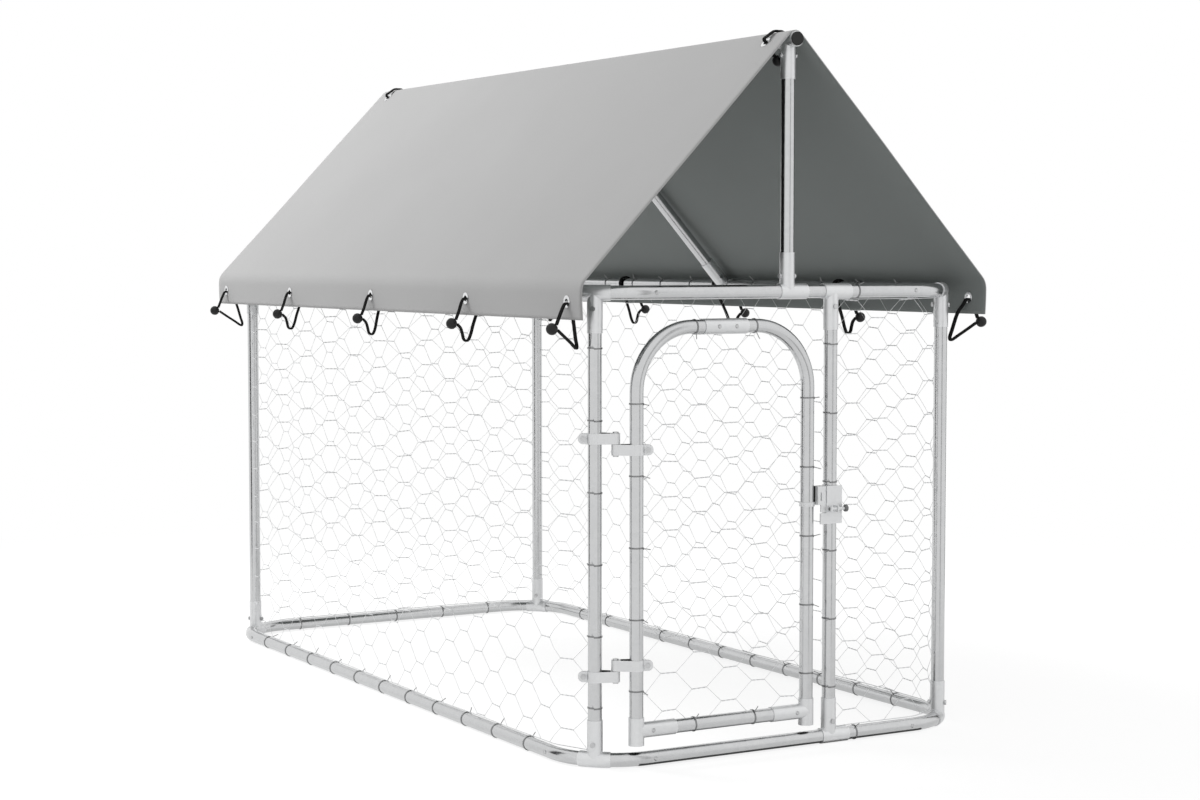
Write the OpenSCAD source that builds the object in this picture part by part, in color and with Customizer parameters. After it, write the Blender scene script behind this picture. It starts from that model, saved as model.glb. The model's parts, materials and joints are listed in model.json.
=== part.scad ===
// Outdoor dog kennel run: a galvanised tube frame with hexagonal netting, a hinged
// door with a slide latch, and a tarpaulin roof held down by ball bungees.
// The origin is at the bottom centre. +X is right as seen from the door, +Y is the
// back and +Z is up. All sizes are in millimetres.

/* [Overall] */
// Width between the centre lines of the side rails
frame_w = 956; // [860:1:1400]
// Length between the centre lines of the end rails
frame_l = 1944; // [1400:1:3000]
// Height from the base rail to the top rail, centre to centre
wall_h = 944; // [850:1:1800]
// Height of the ridge tube above the top rail, centre to centre
roof_h = 519; // [350:1:800]
// Radius of the rail bends at the four corners, to the tube centre
bend_r = 140; // [110:1:180]

/* [Tubes] */
// Diameter of the rail tubes
rail_d = 29; // [24:0.5:34]
// Diameter of the posts, the ridge, the rafters and the door tubes
post_d = 28.5; // [24:0.5:34]
// Wall of every straight tube
tube_wall = 1.2; // [0.8:0.1:2]
// Wall of the rail bends, thick enough to turn down a spigot
bend_wall = 2.5; // [2.2:0.1:4]
// Length of the spigot at each end of a bend
spigot_l = 40; // [25:1:60]
// Radial clearance between a tube and what fits around it
fit = 0.1; // [0.05:0.05:0.3]

/* [Sleeve fittings] */
// Wall of a fitting's run, which goes around the through tube
run_wall = 1.7; // [1.4:0.1:3]
// Wall of a fitting's branch, which holds the end of a tube
branch_wall = 1.5; // [1.2:0.1:2.8]
// Web between the two bores of a fitting
web = 1.4; // [1:0.1:3]
// Length of a branch from the centre of its run
branch_l = 81; // [60:1:110]
// Length of a run along a bend
bend_run_l = 64; // [40:1:90]
// Short arm of a post tee
arm_short = 22; // [18:1:60]
// Long arm of a post tee
arm_long = 46; // [18:1:70]
// Half length of a run on the ridge and the side rails
arm_even = 32; // [20:1:60]
// Length of the branches on the door's bottom tees
door_branch_l = 90; // [60:1:110]
// Length of the sleeve at the top of the door
door_sleeve_l = 105; // [70:1:140]

/* [Fasteners] */
// Diameter of the through bolts
bolt_d = 6; // [4:0.5:8]
// Distance of a bolt from the centre of its fitting's run
bolt_in = 32; // [24:1:50]
// Diameter of the joint screws
screw_d = 4; // [3:0.5:5]
// Distance of a joint screw from the end of its rail
screw_in = 12; // [8:1:20]

/* [Door] */
// Distance in X from the hinge post to the hinge stile
hinge_reach = 73; // [66:1:100]
// Width of the door between the centre lines of its stiles
door_w = 417.4; // [360:0.2:440]
// Distance in X from the latch stile to the latch post
latch_reach = 58.6; // [58:0.2:80]
// Radius of the door's top corners, to the tube centre
arch_r = 130; // [90:1:160]
// Distance from the top rail down to the door's top tube
door_drop = 70; // [60:1:120]
// Height of the door's bottom rail above the ground
door_rail_z = 75; // [70:1:120]
// Length of the stiles below the door's bottom rail
door_foot = 30; // [24:1:40]
// Height of the lower hinge above the ground
hinge_low = 197; // [160:1:300]
// Distance from the top rail down to the upper hinge
hinge_drop = 304; // [200:1:400]

/* [Hinges] */
// Width of a hinge strap
strap_w = 22; // [16:1:30]
// Thickness of a hinge strap
strap_t = 2; // [1.5:0.1:3]
// Diameter of a hinge barrel
barrel_d = 18; // [14:0.5:22]
// Diameter of a hinge pin
pin_d = 8; // [6:0.5:10]
// Radial running clearance of pins
pin_fit = 0.05; // [0.03:0.01:0.15]
// Length of the ears that clamp a strap shut
ear_l = 18; // [14:1:26]
// Slot between the two ears of a strap
ear_slot = 2; // [1:0.2:3]

/* [Latch] */
// Height of the slide bolt above the ground
latch_z = 503; // [420:1:560]
// Diameter of the slide bolt
latch_bolt_d = 7; // [5:0.5:9]
// Travel of the slide bolt
latch_travel = 16; // [12:1:20]
// Thickness of the latch plates
plate_t = 3; // [2:0.2:4]

/* [Netting] */
// Height of a cell of the netting
cell_h = 145.4; // [100:0.2:200]
// Spacing of the cell columns
cell_pitch = 147; // [100:0.2:200]
// Length of the level side of a cell
cell_bar = 68; // [40:1:100]
// Width of a strand
strand_w = 4; // [2:0.5:8]
// Thickness of a net
net_t = 2; // [1:0.2:4]
// Clearance between a net and the tubes and fittings around it
net_gap = 0.4; // [0.2:0.1:1]
// Diameter of the tie wire
tie_d = 1.4; // [1:0.1:1.6]

/* [Tarpaulin] */
// Distance from a side rail's centre to the outside of the skirt
skirt_out = 29; // [28:0.5:40]
// Distance that the roof reaches past the centres of the end rails
overhang = 28; // [10:1:60]
// Depth of the skirt from the centre of the eave bend to the hem
skirt_h = 55; // [40:1:90]
// Outer radius of the bend at the eaves
eave_r = 40; // [30:1:60]
// Outer radius of the bend over the ridge
tarp_ridge_r = 19; // [18:0.5:30]
// Thickness of the sheet
tarp_t = 2; // [1:0.2:3]
// Clearance between the sheet and the ridge fittings below it
tarp_gap = 0.3; // [0.2:0.1:1]

/* [Bungees] */
// Inner radius of an eyelet
eyelet_r = 6.5; // [5:0.5:9]
// Outer radius of an eyelet
eyelet_or = 12.5; // [10:0.5:16]
// Radius of a bungee ball
ball_r = 12; // [8:0.5:14]
// Diameter of the elastic cord
cord_d = 4; // [3:0.5:5]

/* [Hidden] */
$fn = 64;
eps = 0.01;
steel = [0.80, 0.81, 0.82];
dark_steel = [0.55, 0.56, 0.57];
wire = [0.70, 0.71, 0.72];
cloth = [0.72, 0.72, 0.72];
black = [0.12, 0.12, 0.13];

// Levels and half sizes
half_w = frame_w / 2;
half_l = frame_l / 2;
base_z = run_or(rail_d);
top_z = base_z + wall_h;
ridge_z = top_z + roof_h;

// A fitting's run on a tube of diameter d, and the branch on a post
function run_ir(d) = d / 2 + fit;
function run_or(d) = run_ir(d) + run_wall;
function seat(d) = run_ir(d) + web;
branch_ir = post_d / 2 + fit;
branch_or = branch_ir + branch_wall;
end_gap = fit;

// Corner posts stand on the middle of the bends
corner_signs = [[-1, -1], [1, -1], [-1, 1], [1, 1]];
post_x = half_w - bend_r * (1 - cos(45));
post_y = half_l - bend_r * (1 - cos(45));
post_low = base_z + seat(rail_d) + end_gap;
post_high = top_z - seat(rail_d) - end_gap;

// Bends and their spigots
spigot_d = rail_d - 2 * tube_wall - 2 * fit;
bend_bore = rail_d - 2 * bend_wall;
bend_run_a = bend_run_l / bend_r * 180 / PI;

// Ridge, king posts and rafters
ridge_arm = arm_even;
ridge_half = half_l + ridge_arm;
king_low = top_z + seat(rail_d) + end_gap;
king_high = ridge_z - seat(post_d) - end_gap;
rafter_a = atan2(half_w, roof_h);
rafter_span = norm([half_w, roof_h]);
cross_web = 6;
cross_seat = seat(post_d) + cross_web;
rafter_l = rafter_span - seat(rail_d) - cross_seat - 2 * end_gap;
cap_t = 3;
plug_l = 14;

// Fasteners
bolt_hole_d = bolt_d + 2 * fit;
head_r = bolt_d * 0.9;
head_h = bolt_d * 0.6;
nut_r = bolt_d * 0.96;
nut_h = bolt_d * 0.8;
nut_fit = 0.05;
bolt_tip = 1;
screw_hole_d = screw_d + 2 * fit;
screw_head_r = screw_d * 1.1;
screw_head_h = screw_d * 0.55;
screw_l = 5;

// Door
door_left = -post_x + hinge_reach;
door_right = door_left + door_w;
door_mid = (door_left + door_right) / 2;
latch_post_x = door_right + latch_reach;
door_y = -half_l;
door_top_z = top_z - door_drop;
door_foot_z = door_rail_z - door_foot;
tee_trim = 3;
door_tee_up = door_foot - tee_trim;
door_rail_half = door_w / 2 - seat(post_d) - end_gap;

// Hinges lie on the line from the post to the stile, with the pin halfway
hinge_a = atan2(door_y + post_y, hinge_reach);
hinge_e = norm([hinge_reach, door_y + post_y]) / 2;
hinge_x = (door_left - post_x) / 2;
hinge_y = (door_y - post_y) / 2;
hinge_high = top_z - hinge_drop;
knuckle_gap = 0.3;
strap_ir = post_d / 2 + fit;
strap_or = strap_ir + strap_t;
arm_in = 0.3;
arm_hollow_x = barrel_d / 2 + 1;
ear_t = ear_slot + 2 * strap_t + 1;
ear_bolt_x = hinge_e + strap_or + ear_l - strap_w / 2;
pin_head_r = pin_d * 0.75;
pin_head_h = 2.5;
// Heights of the strap bottoms on the post and on the door
post_strap_z = [hinge_low - knuckle_gap - strap_w, hinge_high + knuckle_gap];
door_strap_z = [hinge_low + knuckle_gap, hinge_high - knuckle_gap - strap_w];

// Latch: the bolt rests drawn back and shoots towards -X
latch_face = door_y - strap_or;
latch_front = latch_face - plate_t;
bolt_gap = 4.4;
latch_y = latch_front - bolt_gap - latch_bolt_d / 2;
bracket_in = 21;
bracket_out = 18;
bracket_down = 32;
bracket_up = 48;
bracket_left = latch_post_x - bracket_in;
bracket_right = latch_post_x + bracket_out;
bracket_low = latch_z - bracket_down;
bracket_high = latch_z + bracket_up;
rib_w = 18;
// Wing of the bracket below the bolt
wing_w = 16;
wing_drop = 9;
// Catch on the door: a boxed plate beside the stile with a tongue behind the bolt
catch_gap = 3;
catch_off = 0.4;
catch_left = door_right + strap_ir + catch_off;
catch_right = bracket_left - catch_gap;
catch_up = 9;
catch_low = latch_z + catch_up;
catch_high = bracket_high;
catch_deep = 4;
tongue_w = 12;
tongue_gap = 2;
tongue_low = latch_z - wing_drop + tongue_gap;
window_in = 6;
window_w = 4;
window_up = 8;
window_h = 18;
collar_up = 6;
collar_low = latch_z + collar_up;
collar_h = 9;
// Stop behind the catch
stop_gap = 0.3;
stop_lap = 9;
stop_up = 12;
stop_low = latch_z + stop_up;
stop_h = 25;
stop_left = catch_right - stop_lap;
stop_right = latch_post_x - catch_gap;
// Bolt, its guides and its knob
tip_in = 1;
bolt_tip_x = bracket_left + tip_in;
guide_t = 3;
guide_wall = 3;
guide_edge = 2;
guide_off = -2;
guide_x = [bracket_left + guide_edge, latch_post_x + guide_off];
guide_r = latch_bolt_d / 2 + guide_wall;
knob_wall = 4;
knob_r = latch_bolt_d / 2 + knob_wall;
knob_l = 8;
knob_edge = 2;
knob_stop = 1;
knob_x = guide_x[1] + guide_t + latch_travel + knob_stop;

// Netting between the base and top loops
net_low = base_z + run_or(rail_d) + net_gap;
net_high = top_z - run_or(rail_d) - net_gap;
cell_slant = cell_pitch - cell_bar;
cell_scale = 1 - strand_w / cell_h;
strip_l = 2 * bend_r * sin(22.5);
strip_near = strap_or + net_gap;
bay_left = latch_post_x + strap_or + net_gap;
bay_right = half_w - bend_r - net_gap;
door_inset = strap_or + net_gap;
tie_gap = 0.2;
tie_step = cell_h;
tie_clear = 5;
post_tie_drop = 111;
stile_tie_drop = 153;
bay_tie_in = 20;

// Tarpaulin profile: skirts, eave bends, slopes and the bend over the ridge
tarp_w = frame_w + 2 * skirt_out;
tarp_l = frame_l + 2 * overhang;
eave_rise = 2;
eave_x = tarp_w / 2 - eave_r;
eave_z = top_z + eave_rise;
hem_z = eave_z - skirt_h;
tarp_ridge_z = ridge_z + run_or(post_d) + tarp_gap - (tarp_ridge_r - tarp_t);
slope_d = norm([eave_x, tarp_ridge_z - eave_z]);
slope_a = atan2(tarp_ridge_z - eave_z, eave_x) - asin((eave_r - tarp_ridge_r) / slope_d);

// Eyelets and bungees
eyelet_up = 36;
eyelet_z = hem_z + eyelet_up;
barrel_wall = 1.5;
flange_t = 1;
side_pitch = 495;
side_rows = [-side_pitch, 0, side_pitch];
corner_in = 30;
corner_row = half_l - corner_in;
ridge_in = 37;
ridge_row = half_l - ridge_in;
ridge_eyelet = 30;
ball_reach = 34;
ball_drop = 18;
ball_out = tarp_w / 2 + ball_reach;
ball_z = hem_z - ball_drop;

// Cord routes. Side loops go from the ball through the eyelet, around the rail and back.
// Each point is the distance out from the side rail, the share of the step aside, and the
// height over the rail. The loop beside a rafter steps aside to pass its fitting.
side_out = [
    [53, 0, -63], [46, 0, -46], [40, 0, -28], [35, 0, -19], [28, 0, -16], [24, 0.1, -13.5], [21.5, 0.6, -5]
];
side_turns = [6, 40, 80, 120, 155, 190];
side_back = [
    [-8, 0.85, -24], [2, 0.55, -48], [11, 0.27, -73], [16.5, 0.1, -92], [21, 0.03, -103], [25, 0, -107.8],
    [31, 0, -107.8], [35, 0, -103], [37.5, 0, -93], [41.5, 0, -81], [50, 0, -72]
];
wrap_gap = 0.4;
rafter_aside = 22;
slot_aside = 13;
slot_down = 45;
slot_h = 60;
function wrap_r(d) = (d / 2 + wrap_gap + cord_d / 2) / cos(20);
function side_route(d) = concat(
    side_out, [for (a = side_turns) [wrap_r(d) * cos(a), 1, wrap_r(d) * sin(a)]], side_back);
// Corner loops: out from the skirt, towards the middle of the run, height over the hem.
corner_route = [
    [24, 0, -10], [17, 0, 7], [10, 0, 23], [5, 0, 31], [-1, 0, 32.2], [-7, 2, 31], [-14, 6, 18],
    [-22, 14, 0], [-31, 21, -37], [-35, 23, -52], [-32, 21, -58], [-17, 14, -47], [3, 7, -33], [21, 1, -20]
];
// Ridge loops: half of the loop, out from the ridge and height over ridge_loop_z.
ridge_half_route = [
    [9.5, -32.5], [14, -26], [19, -17], [24, -10], [30, -4.4], [34.5, 0], [34, 4], [28, 8],
    [20, 13.5], [10, 19.5]
];
ridge_route = concat(
    [for (p = ridge_half_route) [-p[0], p[1]]], [[0, 20]],
    [for (i = [len(ridge_half_route) - 1 : -1 : 0]) ridge_half_route[i]]);
ridge_ball_drop = 41;
ridge_loop_up = 1.4;
ridge_loop_z = tarp_ridge_z + ridge_loop_up;
cord_sides = 8;

// Points on an arc in the plane of a profile
function arc(c, r, a0, a1, n) = [for (i = [0 : n])
    let (a = a0 + (a1 - a0) * i / n) c + r * [cos(a), sin(a)]];

// One half of the tarpaulin's profile from the hem to the ridge, set in by t
function tarp_half(t) = concat(
    [[eave_x + eave_r - t, hem_z]],
    arc([eave_x, eave_z], eave_r - t, 0, 90 - slope_a, 6),
    arc([0, tarp_ridge_z], tarp_ridge_r - t, 90 - slope_a, 90, 6));
function tarp_line(t) = let (h = tarp_half(t))
    concat(h, [for (i = [len(h) - 2 : -1 : 0]) [-h[i][0], h[i][1]]]);
function reversed(list) = [for (i = [len(list) - 1 : -1 : 0]) list[i]];

// Height of the roof's outer face at a distance from the middle
function slope_z(x) = eave_z + eave_r / cos(slope_a) + (eave_x - x) * tan(slope_a);

// Places along a line at a fixed step, without those that meet a fitting
function tie_rows(low, high, start, step, fittings) = [
    for (k = [-ceil((start - low) / step) : ceil((high - start) / step)])
        let (p = start + k * step)
            if (p > low && p < high && len([for (f = fittings) if (abs(p - f[0]) < f[1]) 1]) == 0) p];

function unit(v) = v / norm(v);
function cord_dir(p, i) = unit(p[min(i + 1, len(p) - 1)] - p[max(i - 1, 0)]);

// A round cord swept along points, with its rings square to the length of the run
module cord(points) {
    n = len(points);
    rings = [for (i = [0 : n - 1])
        let (t = cord_dir(points, i), a = unit(cross(t, [0, 1, 0])), b = cross(t, a))
            for (k = [0 : cord_sides - 1])
            let (w = 360 * k / cord_sides) points[i] + cord_d / 2 * (cos(w) * a + sin(w) * b)];
    sides = [for (i = [0 : n - 2]) for (k = [0 : cord_sides - 1])
        let (j = (k + 1) % cord_sides, a = i * cord_sides, c = a + cord_sides)
            for (f = [[a + k, a + j, c + j], [a + k, c + j, c + k]]) f];
    last = (n - 1) * cord_sides;
    ends = [for (k = [1 : cord_sides - 2])
        for (f = [[0, k + 1, k], [last, last + k, last + k + 1]]) f];
    polyhedron(points = rings, faces = concat(sides, ends));
}

// Straight tube along Z from the origin
module tube(l, d) {
    difference() {
        cylinder(d = d, h = l);
        translate([0, 0, -1]) cylinder(d = d - 2 * tube_wall, h = l + 2);
    }
}

// Round bar along Y through the origin, for holes
module cross_hole(d, l) {
    rotate([90, 0, 0]) cylinder(d = d, h = l, center = true);
}

// Turns the front side of the frame to side i: front, right, back, left
module side(i, z) {
    rotate([0, 0, 90 * i]) translate([0, -(i % 2 == 0 ? half_l : half_w), z]) children();
}
function side_l(i) = (i % 2 == 0 ? frame_w : frame_l) - 2 * bend_r;

// Puts the middle of a bend on the local +X axis, at bend_r from its centre
module corner(i, z) {
    s = corner_signs[i];
    translate([s[0] * (half_w - bend_r), s[1] * (half_l - bend_r), z])
        rotate([0, 0, atan2(s[1], s[0])]) children();
}

// Straight rail with a screw hole at each end of its outer side
module rail(i, z) {
    l = side_l(i);
    color(steel) side(i, z) difference() {
        translate([-l / 2, 0, 0]) rotate([0, 90, 0]) tube(l, rail_d);
        for (s = [-1, 1]) translate([s * (l / 2 - screw_in), -rail_d / 2, 0])
            cross_hole(screw_hole_d, rail_d / 2);
    }
}

// Rail bend with a spigot at each end
module bend(i, z) {
    color(steel) corner(i, z) difference() {
        union() {
            rotate([0, 0, -45]) rotate_extrude(angle = 90) translate([bend_r, 0]) circle(d = rail_d);
            for (s = [-1, 1]) rotate([0, 0, 45 * s]) translate([bend_r, 0, 0])
                rotate([-90 * s, 0, 0]) cylinder(d = spigot_d, h = spigot_l);
        }
        rotate([0, 0, -45]) rotate_extrude(angle = 90) translate([bend_r, 0]) circle(d = bend_bore);
        for (s = [-1, 1]) rotate([0, 0, 45 * s]) translate([bend_r, 0, 0]) {
            rotate([-90 * s, 0, 0]) cylinder(d = bend_bore, h = spigot_l + 1);
            translate([rail_d / 2, s * screw_in, 0]) rotate([0, 0, 90]) cross_hole(screw_hole_d, rail_d / 2);
        }
    }
}

// Corner post with its two bolt holes
module corner_post(i) {
    color(steel) corner(i, 0) translate([bend_r, 0, 0]) difference() {
        translate([0, 0, post_low]) tube(post_high - post_low, post_d);
        for (z = [base_z + bolt_in, top_z - bolt_in]) translate([0, 0, z])
            rotate([0, 0, 90]) cross_hole(bolt_hole_d, 2 * post_d);
    }
}

module latch_post() {
    color(steel) translate([latch_post_x, -half_l, 0]) difference() {
        translate([0, 0, post_low]) tube(post_high - post_low, post_d);
        for (z = [base_z + bolt_in, top_z - bolt_in]) translate([0, 0, z])
            cross_hole(bolt_hole_d, 2 * post_d);
    }
}

module king_post(s) {
    color(steel) translate([0, s * half_l, 0]) difference() {
        translate([0, 0, king_low]) tube(king_high - king_low, post_d);
        for (z = [top_z + bolt_in, ridge_z - bolt_in]) translate([0, 0, z])
            rotate([0, 0, 90]) cross_hole(bolt_hole_d, 2 * post_d);
    }
}

module ridge_tube() {
    color(steel) translate([0, -ridge_half, ridge_z]) rotate([-90, 0, 0]) tube(2 * ridge_half, post_d);
}

// Stands at the foot of a rafter, with Z along the rafter
module rafter_frame(s) {
    translate([s * half_w, 0, top_z]) rotate([0, -s * rafter_a, 0]) children();
}

module rafter(s) {
    color(steel) rafter_frame(s) difference() {
        translate([0, 0, seat(rail_d) + end_gap]) tube(rafter_l, post_d);
        for (z = [bolt_in, rafter_span - bolt_in - cross_web]) translate([0, 0, z])
            cross_hole(bolt_hole_d, 2 * post_d);
    }
}

module ridge_caps() {
    color(black) for (s = [-1, 1]) translate([0, s * ridge_half, ridge_z]) rotate([-90 * s, 0, 0]) {
        cylinder(d = post_d, h = cap_t);
        translate([0, 0, -plug_l]) cylinder(d = post_d - 2 * tube_wall - 2 * fit, h = plug_l + eps);
    }
}

// Fitting with its run along X and its branch along +Z
module tee(run_d, arm_a, arm_b, length, bolt_turn, hole_d = bolt_hole_d) {
    difference() {
        union() {
            translate([-arm_a, 0, 0]) rotate([0, 90, 0]) cylinder(r = run_or(run_d), h = arm_a + arm_b);
            cylinder(r = branch_or, h = length);
        }
        translate([-arm_a - 1, 0, 0]) rotate([0, 90, 0]) cylinder(r = run_ir(run_d), h = arm_a + arm_b + 2);
        translate([0, 0, seat(run_d)]) cylinder(r = branch_ir, h = length);
        translate([0, 0, bolt_in]) rotate([0, 0, bolt_turn]) cross_hole(hole_d, 2 * post_d);
    }
}

// Fitting that runs along a bend, with its branch along +Z
module corner_tee() {
    difference() {
        union() {
            rotate([0, 0, -bend_run_a / 2]) rotate_extrude(angle = bend_run_a)
                translate([bend_r, 0]) circle(r = run_or(rail_d));
            translate([bend_r, 0, 0]) cylinder(r = branch_or, h = branch_l);
        }
        rotate([0, 0, -45]) rotate_extrude(angle = 90) translate([bend_r, 0]) circle(r = run_ir(rail_d));
        translate([bend_r, 0, seat(rail_d)]) cylinder(r = branch_ir, h = branch_l);
        translate([bend_r, 0, bolt_in]) rotate([0, 0, 90]) cross_hole(bolt_hole_d, 2 * post_d);
    }
}

module base_corner_tees() {
    color(steel) for (i = [0 : 3]) corner(i, base_z) corner_tee();
}

module top_corner_tees() {
    color(steel) for (i = [0 : 3]) corner(i, top_z) mirror([0, 0, 1]) corner_tee();
}

// Tees of the latch post and of the feet of the king posts
module post_tees() {
    color(steel) {
        translate([latch_post_x, -half_l, base_z]) tee(rail_d, arm_short, arm_long, branch_l, 0);
        translate([latch_post_x, -half_l, top_z]) mirror([0, 0, 1])
            tee(rail_d, arm_short, arm_long, branch_l, 0);
        for (s = [-1, 1]) translate([0, s * half_l, top_z]) tee(rail_d, arm_short, arm_long, branch_l, 90);
    }
}

module ridge_end_tees() {
    color(steel) for (s = [-1, 1]) translate([0, s * half_l, ridge_z]) rotate([0, 180, 90])
        tee(post_d, ridge_arm, ridge_arm, branch_l, 0);
}

module rafter_feet() {
    color(steel) for (s = [-1, 1]) rafter_frame(s) rotate([0, 0, 90])
        tee(rail_d, arm_even, arm_even, branch_l, 90);
}

// Sleeve on the ridge with a branch for each rafter
module ridge_cross() {
    color(steel) translate([0, 0, ridge_z]) difference() {
        union() {
            rotate([90, 0, 0]) cylinder(r = run_or(post_d), h = 2 * arm_even, center = true);
            for (s = [-1, 1]) rotate([0, s * (180 - rafter_a), 0]) cylinder(r = branch_or, h = branch_l);
        }
        rotate([90, 0, 0]) cylinder(r = run_ir(post_d), h = 2 * arm_even + 2, center = true);
        for (s = [-1, 1]) rotate([0, s * (180 - rafter_a), 0]) {
            translate([0, 0, cross_seat]) cylinder(r = branch_ir, h = branch_l);
            translate([0, 0, bolt_in + cross_web]) cross_hole(bolt_hole_d, 2 * post_d);
        }
    }
}

// Bolt along Y through a fitting of outer radius r, with its nut as a second solid
module through_bolt(r) {
    grip = r + fit;
    shank = 2 * grip + nut_h + bolt_tip;
    rotate([90, 0, 0]) {
        translate([0, 0, grip]) cylinder(r = head_r, h = head_h);
        translate([0, 0, grip - shank]) cylinder(d = bolt_d, h = shank + eps);
        translate([0, 0, -grip - nut_h]) difference() {
            cylinder(r = nut_r, h = nut_h, $fn = 6);
            translate([0, 0, -1]) cylinder(d = bolt_d + 2 * nut_fit, h = nut_h + 2);
        }
    }
}

// Pan head screw whose head lies on the face y = 0 and points to -Y
module pan_screw() {
    rotate([90, 0, 0]) {
        translate([0, 0, fit]) cylinder(r1 = screw_head_r, r2 = screw_head_r * 0.7, h = screw_head_h);
        translate([0, 0, -screw_l]) cylinder(d = screw_d, h = screw_l + fit + eps);
    }
}

module frame_bolts() {
    color(dark_steel) {
        for (i = [0 : 3], z = [base_z + bolt_in, top_z - bolt_in])
            corner(i, z) translate([bend_r, 0, 0]) rotate([0, 0, 90]) through_bolt(branch_or);
        for (z = [base_z + bolt_in, top_z - bolt_in])
            translate([latch_post_x, -half_l, z]) through_bolt(branch_or);
        for (s = [-1, 1], z = [top_z + bolt_in, ridge_z - bolt_in])
            translate([0, s * half_l, z]) rotate([0, 0, 90]) through_bolt(branch_or);
        for (s = [-1, 1], z = [bolt_in, rafter_span - bolt_in - cross_web])
            rafter_frame(s) translate([0, 0, z]) through_bolt(branch_or);
        for (z = post_strap_z) hinge_frame(z + strap_w / 2) rotate([0, 0, 180])
            translate([ear_bolt_x, 0, 0]) through_bolt(ear_t / 2);
    }
}

module joint_screws() {
    color(dark_steel) for (i = [0 : 3], z = [base_z, top_z], s = [-1, 1])
        side(i, z) translate([s * (side_l(i) / 2 - screw_in), -rail_d / 2, 0]) pan_screw();
}

// Hinge axis with X towards the door stile
module hinge_frame(z) {
    translate([hinge_x, hinge_y, z]) rotate([0, 0, hinge_a]) children();
}

// Plan of a strap's arm from x to the tube: it widens from the barrel to the strap, less a margin
module arm_wedge(x, margin) {
    a = barrel_d / 2 + (strap_or - barrel_d / 2) * x / hinge_e - margin;
    b = strap_or - margin;
    polygon([[x, -a], [hinge_e, -b], [hinge_e, b], [x, a]]);
}

// Strap that clamps a tube: two plates from the barrel around the tube, with ears beyond it
module hinge_clamp() {
    difference() {
        union() {
            cylinder(d = barrel_d, h = strap_w);
            linear_extrude(strap_w) arm_wedge(0, arm_in);
            translate([hinge_e, 0, 0]) cylinder(r = strap_or, h = strap_w);
            translate([hinge_e, -ear_t / 2, 0]) cube([ear_bolt_x - hinge_e, ear_t, strap_w]);
            translate([ear_bolt_x, ear_t / 2, strap_w / 2]) rotate([90, 0, 0])
                cylinder(d = strap_w, h = ear_t);
        }
        translate([0, 0, -1]) cylinder(d = pin_d + 2 * pin_fit, h = strap_w + 2);
        translate([hinge_e, 0, -1]) cylinder(r = strap_ir, h = strap_w + 2);
        translate([0, 0, -1]) linear_extrude(strap_w + 2) arm_wedge(arm_hollow_x, arm_in + strap_t);
        translate([hinge_e, -ear_slot / 2, -1]) cube([strap_or + ear_l + 1, ear_slot, strap_w + 2]);
        translate([ear_bolt_x, 0, strap_w / 2]) cross_hole(bolt_hole_d, 4 * ear_t);
    }
}

module hinge_post_clamps() {
    color(steel) for (z = post_strap_z) hinge_frame(z) rotate([0, 0, 180]) hinge_clamp();
}

module hinge_door_clamps() {
    color(steel) for (z = door_strap_z) hinge_frame(z) hinge_clamp();
}

// Pins through both knuckles, headed at both ends
module hinge_pins() {
    reach = strap_w + 2 * knuckle_gap;
    color(dark_steel) for (z = [hinge_low, hinge_high]) hinge_frame(z) {
        translate([0, 0, -reach]) cylinder(d = pin_d, h = 2 * reach);
        for (s = [-1, 1]) translate([0, 0, s * (reach + pin_head_h / 2 - eps)])
            cylinder(r = pin_head_r, h = pin_head_h, center = true);
    }
}

// Collar, front plate with its wing, bolt guides and door stop on the latch post
module latch_bracket() {
    h = bracket_high - bracket_low;
    color(steel) difference() {
        union() {
            translate([latch_post_x, -half_l, bracket_low]) cylinder(r = strap_or, h = h);
            translate([bracket_left, latch_front, bracket_low])
                cube([bracket_right - bracket_left, plate_t, h]);
            translate([bracket_left - wing_w, latch_front, bracket_low])
                cube([wing_w + eps, plate_t, bracket_down - wing_drop]);
            translate([latch_post_x - rib_w / 2, latch_face - eps, bracket_low])
                cube([rib_w, strap_or / 2, h]);
            translate([stop_left, latch_face + stop_gap, stop_low])
                cube([stop_right - stop_left, plate_t, stop_h]);
            for (x = guide_x) translate([x, latch_y - guide_r, latch_z - guide_r])
                cube([guide_t, latch_front - latch_y + guide_r + eps, 2 * guide_r]);
        }
        translate([latch_post_x, -half_l, bracket_low - 1]) cylinder(r = strap_ir, h = h + 2);
        translate([bracket_left - 1, latch_y, latch_z]) rotate([0, 90, 0])
            cylinder(d = latch_bolt_d + 2 * pin_fit, h = bracket_right - bracket_left);
    }
}

// Slide bolt with its round knob
module latch_bolt() {
    color(dark_steel) translate([0, latch_y, latch_z]) rotate([0, 90, 0]) {
        translate([0, 0, bolt_tip_x]) cylinder(d = latch_bolt_d, h = knob_x + knob_l / 2 - bolt_tip_x);
        translate([0, 0, knob_x]) rotate_extrude() polygon([
            [0, 0], [knob_r - knob_edge, 0], [knob_r, knob_edge], [knob_r, knob_l - knob_edge],
            [knob_r - knob_edge, knob_l], [0, knob_l]
        ]);
    }
}

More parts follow.
